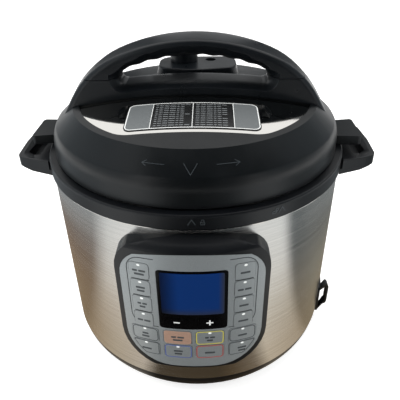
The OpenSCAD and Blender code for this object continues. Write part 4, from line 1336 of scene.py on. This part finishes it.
@dataclass
class Lid:
    """Lid cover, steel dome, handle, valve platform and valves.

    Sizes of the window plate named _inset are taken off its whole width and height."""

    slope: ConeSurface = ConeSurface(126.0, 234.8, 41.06)
    dome: DomeSurface = DomeSurface(528.9, -269.52)
    align_arrow: tuple[Pair, ...] = ((-5.2, 10.4), (0.0, 1.6), (5.2, 10.4))
    turn_v: float = 9.0
    turn_start_u: float = 20.0
    turn_tip_u: float = 38.0
    barb: Pair = (3.5, 2.2)
    plate_middle: float = -60.2
    plate_size: Pair = (108.0, 42.4)
    plate_sunk: float = 0.5
    end_u: float = 33.0
    end_inset: float = 2.8
    frame_inset: float = 1.6
    divider_inset: float = 3.0
    row_count: int = 11
    row_pitch: float = 3.3
    field_u: float = 16.5
    bar_height: float = 0.8
    bar_gap: float = 0.8

    def build(self) -> None:
        """Makes every piece of the lid."""
        for skin in (
            Skin("lid_cover", Shades.lid, 0.35, 17.0, ease_lid_fins),
            Skin("inner_lid", Shades.dome),
            Skin("sealing_ring", Shades.silicone),
            Skin("ring_rack", Shades.dome),
            Skin("handle_base", Shades.handle, 0.4, 38.0),
            Skin("handle_arch", Shades.handle, 0.4, 38.0),
            Skin("handle_screws", Shades.screw),
            Skin("valve_platform", Shades.handle, 0.8),
            Skin("steam_pipe", Shades.dome),
            Skin("pipe_nut", Shades.plated, 0.3),
            Skin("anti_block_shield", Shades.dome),
            Skin("steam_release_knob", Shades.handle, 0.8),
            Skin("float_valve", Shades.dome, 0.4),
            Skin("float_seal", Shades.silicone, 0.3),
        ):
            skin.build()
        self._slope_marks()
        self._plate()
        self._plate_rows()

    def _slope_marks(self) -> None:
        """The alignment arrow and the turning arrows moulded into the slope, drawn a lighter grey
        than it, as painted highlight.
        """
        marks = MarkSheet()
        marks.stroke(self.align_arrow, 0.55)
        back, out = self.barb
        for side in Side:
            s, v = side.value, self.turn_v
            tip = (s * self.turn_tip_u, v)
            barb_u = s * (self.turn_tip_u - back)
            marks.stroke([(s * self.turn_start_u, v), tip], 0.5)
            marks.stroke([(barb_u, v + out), tip, (barb_u, v - out)], 0.5)
        marks.lay(self.slope, "slope_marks", Shades.moulded, "lid", thick=0.2)

    def _plate(self) -> None:
        """The black plate in the lid's window, with its printed frame and two pale ends."""
        middle, (width, height) = self.plate_middle, self.plate_size
        MarkSheet().block(0, middle, width, height, corner=6.0).lay(
            DomeSurface(self.dome.ball_r - self.plate_sunk, self.dome.centre_z),
            "window_plate",
            Shades.black_ink,
            "lid",
            thick=0.44,
            lift=0.05,
            slot="lid_plate",
            replaces=["lid_plate"],
        )
        ends = MarkSheet()
        inset = self.end_inset
        for side in Side:
            end = side.value * self.end_u
            ends.block(0, middle, width - inset, height - inset, corner=5.0, keep=end)
        ends.lay(self.dome, "plate_ends", Shades.grey_ink, "lid", thick=0.03)
        lines = MarkSheet()
        inset = self.frame_inset
        lines.block(0, middle, width - inset, height - inset, corner=5.4, line=0.8)
        for u in (-self.end_u, 0.0, self.end_u):
            lines.block(u, middle, 0.5, height - self.divider_inset)
        lines.lay(self.dome, "plate_frame", Shades.white_ink, "lid", thick=0.05)

    def _plate_rows(self) -> None:
        """Rows of short bars in the plate's two middle fields, each with a ragged end."""
        rows = MarkSheet()
        first, last = -14.0, 11.0
        for i in range(self.row_count):
            v = self.plate_middle + 16.5 - i * self.row_pitch
            for side in Side:
                field = side.value * self.field_u
                at, k = field + first, i + (side is Side.RIGHT)
                while at < field + last - i * 4 % 5:
                    width = 2.2 + (k * 5 + i * 3) % 4 * 0.9
                    rows.block(at + width / 2, v, width, self.bar_height, corner=0.3)
                    at += width + self.bar_gap
                    k += 1
        rows.lay(self.dome, "plate_rows", Shades.row_ink, "lid", thick=0.05)


# ---------- studio ----------


def studio_object(
    bm: bmesh.types.BMesh, name: str, material_name: str
) -> tuple[bpy.types.Object, bpy.types.NodeTree]:
    """Turns a finished bmesh, in metres, into a studio object with an empty material.

    Args:
        bm: The mesh, which is freed.
        name: Name of the object.
        material_name: Name of its material.

    Returns:
        The new object and its material's node tree.
    """
    mesh = bpy.data.meshes.new(name)
    bm.to_mesh(mesh)
    bm.free()
    made = bpy.data.objects.new(name, mesh)
    bpy.context.scene.collection.objects.link(made)
    material = bpy.data.materials.new(material_name)
    material.use_nodes = True
    material.node_tree.nodes.clear()
    mesh.materials.append(material)
    return made, material.node_tree


def show_in_gloss(
    made: bpy.types.Object, tree: bpy.types.NodeTree, colour: Colour | bpy.types.NodeSocket
) -> None:
    """Lets a studio object glow in a colour, and be seen in reflections only.

    Args:
        made: The object.
        tree: Its material's empty node tree.
        colour: The linear colour, or the output that gives it.
    """
    glow = add_node(tree, "ShaderNodeEmission", {"Color": colour})
    add_node(tree, "ShaderNodeOutputMaterial", {"Surface": glow.outputs["Emission"]})
    made.visible_camera = False
    made.visible_diffuse = False
    made.visible_transmission = False
    made.visible_shadow = False


@dataclass(frozen=True)
class Heading:
    """The tabletop's colours in the gloss along one heading, from beside the cooker outwards,
    painted shade included. Headings are counted in degrees from the front towards the right."""

    deg: float
    near: str
    middle: str
    far: str
    beyond: str


@dataclass(frozen=True)
class Tabletop:
    """A disc on the floor that stands for the table and the room in the cooker's gloss, with colours
    that blend from heading to heading and outwards and hold painted shade: the table's brown
    darkened near the cooker, and near black straight ahead."""

    headings: tuple[Heading, ...]
    rings_mm: tuple[float, float, float, float] = (160.0, 225.0, 300.0, 430.0)
    radius_mm: float = 1100.0
    height_mm: float = 0.4

    def build(self) -> None:
        """Makes the disc."""
        bm = bmesh.new()
        bmesh.ops.create_circle(bm, cap_ends=True, segments=96, radius=self.radius_mm * MM)
        bmesh.ops.translate(bm, vec=(0, 0, self.height_mm * MM), verts=bm.verts)
        made, tree = studio_object(bm, "tabletop", "tabletop")
        show_in_gloss(made, tree, self._tint(tree))

    def _tint(self, tree: bpy.types.NodeTree) -> bpy.types.NodeSocket:
        """The colour by heading and by distance.

        Args:
            tree: The material's node tree.

        Returns:
            The colour output.
        """
        place = add_node(tree, "ShaderNodeTexCoord")
        parts = add_node(tree, "ShaderNodeSeparateXYZ", {0: place.outputs["Object"]})
        ahead = add_node(
            tree,
            "ShaderNodeMath",
            settings={"operation": "MULTIPLY"},
            inputs={0: parts.outputs["Y"], 1: -1.0},
        )
        turn = add_node(
            tree,
            "ShaderNodeMath",
            settings={"operation": "ARCTAN2"},
            inputs={0: parts.outputs["X"], 1: ahead.outputs["Value"]},
        )
        heading = add_node(
            tree,
            "ShaderNodeMapRange",
            {"Value": turn.outputs["Value"], "From Min": -math.pi, "From Max": math.pi},
        )
        reach = add_node(
            tree,
            "ShaderNodeVectorMath",
            settings={"operation": "LENGTH"},
            inputs={0: place.outputs["Object"]},
        )
        rings = []
        for ring in ("near", "middle", "far", "beyond"):
            stops = [
                ((row.deg + 180.0) / 360.0, linear(getattr(row, ring)))
                for row in self.headings
            ]
            blended = add_node(
                tree, "ShaderNodeValToRGB", {"Fac": heading.outputs["Result"]}, stops=stops
            )
            rings.append(blended.outputs["Color"])
        tint = rings[0]
        for start, end, ring in zip(self.rings_mm, self.rings_mm[1:], rings[1:]):
            out = add_node(
                tree,
                "ShaderNodeMapRange",
                {"Value": reach.outputs["Value"], "From Min": start * MM, "From Max": end * MM},
            )
            blend = add_node(
                tree,
                "ShaderNodeMix",
                settings={"data_type": "RGBA"},
                inputs={0: out.outputs["Result"], 6: tint, 7: ring},
            )
            tint = blend.outputs[2]
        return tint


@dataclass(frozen=True)
class Lamp:
    """A softbox that lights the cooker and does not show in its gloss. Places and sizes are in
    metres and the power is in watts."""

    name: str
    at: Point
    aim: Point
    size: Pair
    power: float

    def build(self) -> None:
        """Adds the lamp to the scene."""
        data = bpy.data.lights.new(self.name, "AREA")
        data.shape = "RECTANGLE"
        data.size, data.size_y = self.size
        data.energy = self.power
        made = bpy.data.objects.new(self.name, data)
        bpy.context.scene.collection.objects.link(made)
        made.location = self.at
        made.visible_glossy = False
        away = Vector(self.at) - Vector(self.aim)
        made.rotation_euler = away.to_track_quat("Z", "Y").to_euler()


@dataclass(frozen=True)
class Card:
    """A card, or an oval where rounded, that gives the gloss something else than the pale
    surround on one side. Places and sizes are in metres."""

    name: str
    at: Point
    aim: Point
    size: Pair
    colour: str
    rounded: bool = False

    def build(self) -> None:
        """Adds the card to the scene."""
        bm = bmesh.new()
        if self.rounded:
            bmesh.ops.create_circle(bm, cap_ends=True, segments=64, radius=0.5)
        else:
            bmesh.ops.create_grid(bm, x_segments=1, y_segments=1, size=0.5)
        bmesh.ops.scale(bm, vec=(*self.size, 1.0), verts=bm.verts)
        away = Vector(self.at) - Vector(self.aim)
        turned = away.to_track_quat("Z", "Y").to_matrix().to_4x4()
        placed = Matrix.Translation(self.at) @ turned
        bmesh.ops.transform(bm, matrix=placed, verts=bm.verts)
        made, tree = studio_object(bm, self.name, self.name)
        show_in_gloss(made, tree, linear(self.colour))


@dataclass
class Studio:
    """Floor, lamps, reflection cards and the camera."""

    lens: float = 41.49
    sensor: float = 36.0
    elevation_deg: float = 32.3
    roll_deg: float = -1.0
    yaw_deg: float = 1.6
    eye: Point = (3.0, -409.2, 394.9)
    fill: float = 0.45
    floor_size: float = 4.0
    floor_drop_mm: float = 0.2
    floor_glow: float = 0.62
    lamps: tuple[Lamp, ...] = (
        Lamp("lamp_top", (-0.1, 0.25, 2.0), (0, 0, 0), (1.9, 1.6), 24.0),
        Lamp("lamp_left", (-1.35, -0.2, 0.75), (0, 0, 0.15), (0.55, 1.3), 12.0),
        Lamp("lamp_right", (1.35, -0.2, 0.75), (0, 0, 0.15), (0.5, 1.3), 8.0),
        Lamp("lamp_front", (-0.3, -1.7, 0.9), (0, 0, 0.12), (1.2, 0.9), 7.0),
        Lamp("lamp_back", (-0.15, 1.2, 1.6), (0, 0, 0.3), (1.4, 0.4), 4.0),
    )
    tabletop: Tabletop = Tabletop(
        (
            # Near colours: the table's brown, darkened by painted shade where the cooker's shadow
            # falls.
            Heading(-180, "#ab9170", "#967f66", "#7d6b5e", "#8f979c"),
            Heading(-74, "#8d7a60", "#8a7660", "#7a6a5e", "#a9b2b7"),
            Heading(-60, "#a8957c", "#c9bdac", "#e4e2de", "#e8eef1"),
            Heading(-45, "#bcae98", "#d6ccbf", "#f6f6f5", "#f6f9fa"),
            Heading(-27, "#c6bbac", "#d9d0c4", "#fafafa", "#dfe5e8"),
            # Straight ahead: near black, painted shade.
            Heading(-19, "#51473a", "#2a251e", "#08090a", "#050607"),
            Heading(11, "#4c4234", "#29231c", "#08090a", "#050607"),
            Heading(18, "#5c4e3c", "#47423b", "#454a4d", "#3c4347"),
            Heading(30, "#7d705f", "#716b62", "#7d8285", "#7f888c"),
            Heading(38, "#cbbda8", "#ddd6c9", "#f2f2ef", "#f2f6f8"),
            Heading(60, "#b3a48e", "#c8c0b1", "#f0f0ee", "#eef3f5"),
            Heading(68, "#8c7e68", "#7f786c", "#5c6062", "#687074"),
            Heading(88, "#8f836d", "#8b877b", "#6c6d6a", "#848a8d"),
            Heading(180, "#857259", "#8a8270", "#77736a", "#8a9195"),
        )
    )
    cards: tuple[Card, ...] = (
        Card("flag_front", (0.15, -1.4, 0.7), (0.15, 0, 0.7), (2.0, 1.4), "#0a0c0e"),
        Card("flag_over", (0.3, -0.75, 1.3), (0.3, -0.75, 0), (2.0, 1.3), "#0a0c0e"),
        Card("flag_left", (-1.4, 0.2, 1.15), (0, 0.2, 1.15), (3.0, 1.7), "#a3abb0"),
        Card("flag_right", (1.5, 0.2, 1.15), (0, 0.2, 1.15), (3.0, 1.7), "#8a9297"),
        Card("flag_back", (0, 2.4, 0.3), (0, 0, 0.3), (2.9, 4.0), "#43474a", True),
        Card("flag_middle", (0, 2.3, 0.7), (0, 0, 0.7), (0.9, 1.1), "#b4b6b7"),
    )

    def build(self) -> None:
        """Makes the whole studio."""
        bpy.context.scene.view_settings.view_transform = "Standard"
        self._camera()
        self._world()
        self._floor()
        for lamp in self.lamps:
            lamp.build()
        self.tabletop.build()
        for card in self.cards:
            card.build()

    def _camera(self) -> None:
        """The camera, with its lens in millimetres and its eye raised and turned by degrees."""
        e, roll = math.radians(self.elevation_deg), math.radians(self.roll_deg)
        back = Vector((0, -math.cos(e), math.sin(e)))
        up = Vector((0, math.sin(e), math.cos(e)))
        right = Vector((1, 0, 0))
        side = math.cos(roll) * right + math.sin(roll) * up
        top = -math.sin(roll) * right + math.cos(roll) * up
        turned = Matrix((side, top, back)).transposed().to_4x4()
        turned.translation = Vector(self.eye) * MM
        data = bpy.data.cameras.new("camera")
        data.lens = self.lens
        data.sensor_width = self.sensor
        data.clip_start = 0.02
        made = bpy.data.objects.new("camera", data)
        bpy.context.scene.collection.objects.link(made)
        made.matrix_world = Matrix.Rotation(math.radians(self.yaw_deg), 4, "Z") @ turned
        bpy.context.scene.camera = made

    def _world(self) -> None:
        """A soft pale surround, plain white to the camera and in reflections."""
        world = bpy.data.worlds.new("studio")
        bpy.context.scene.world = world
        world.use_nodes = True
        tree = world.node_tree
        tree.nodes.clear()
        rays = add_node(tree, "ShaderNodeLightPath")
        shown = rays.outputs["Is Camera Ray"]
        for kind in ("Is Transmission Ray", "Is Glossy Ray"):
            either = add_node(
                tree,
                "ShaderNodeMath",
                settings={"operation": "MAXIMUM"},
                inputs={0: shown, 1: rays.outputs[kind]},
            )
            shown = either.outputs["Value"]
        strength = add_node(
            tree, "ShaderNodeMapRange", {"Value": shown, "To Min": self.fill, "To Max": 1.0}
        )
        sky = add_node(
            tree,
            "ShaderNodeBackground",
            {"Color": linear("#ffffff"), "Strength": strength.outputs["Result"]},
        )
        add_node(tree, "ShaderNodeOutputWorld", {"Surface": sky.outputs["Background"]})

    def _floor(self) -> None:
        """A pale floor that keeps the cooker's shadow and glows a little to the camera and in
        reflections."""
        bm = bmesh.new()
        bmesh.ops.create_grid(bm, x_segments=4, y_segments=4, size=self.floor_size)
        bmesh.ops.translate(bm, vec=(0, 0, -self.floor_drop_mm * MM), verts=bm.verts)
        _, tree = studio_object(bm, "floor", "floor_paper")
        rays = add_node(tree, "ShaderNodeLightPath")
        paper = add_node(tree, "ShaderNodeBsdfDiffuse", {"Color": linear("#e6e6e5")})
        seen = add_node(
            tree,
            "ShaderNodeMath",
            settings={"operation": "MAXIMUM"},
            inputs={0: rays.outputs["Is Camera Ray"], 1: rays.outputs["Is Glossy Ray"]},
        )
        lift = add_node(
            tree,
            "ShaderNodeMath",
            settings={"operation": "MULTIPLY"},
            inputs={0: seen.outputs["Value"], 1: self.floor_glow},
        )
        glow = add_node(tree, "ShaderNodeEmission", {"Strength": lift.outputs["Value"]})
        both = add_node(
            tree, "ShaderNodeAddShader", {0: paper.outputs["BSDF"], 1: glow.outputs["Emission"]}
        )
        add_node(tree, "ShaderNodeOutputMaterial", {"Surface": both.outputs["Shader"]})


def main() -> None:
    """Builds the cooker's looks and the studio."""
    logging.basicConfig(level=logging.INFO, format="%(name)s %(message)s")
    Casing().build()
    ControlPanel().build()
    Lid().build()
    Studio().build()


if __name__ == "__main__":
    main()
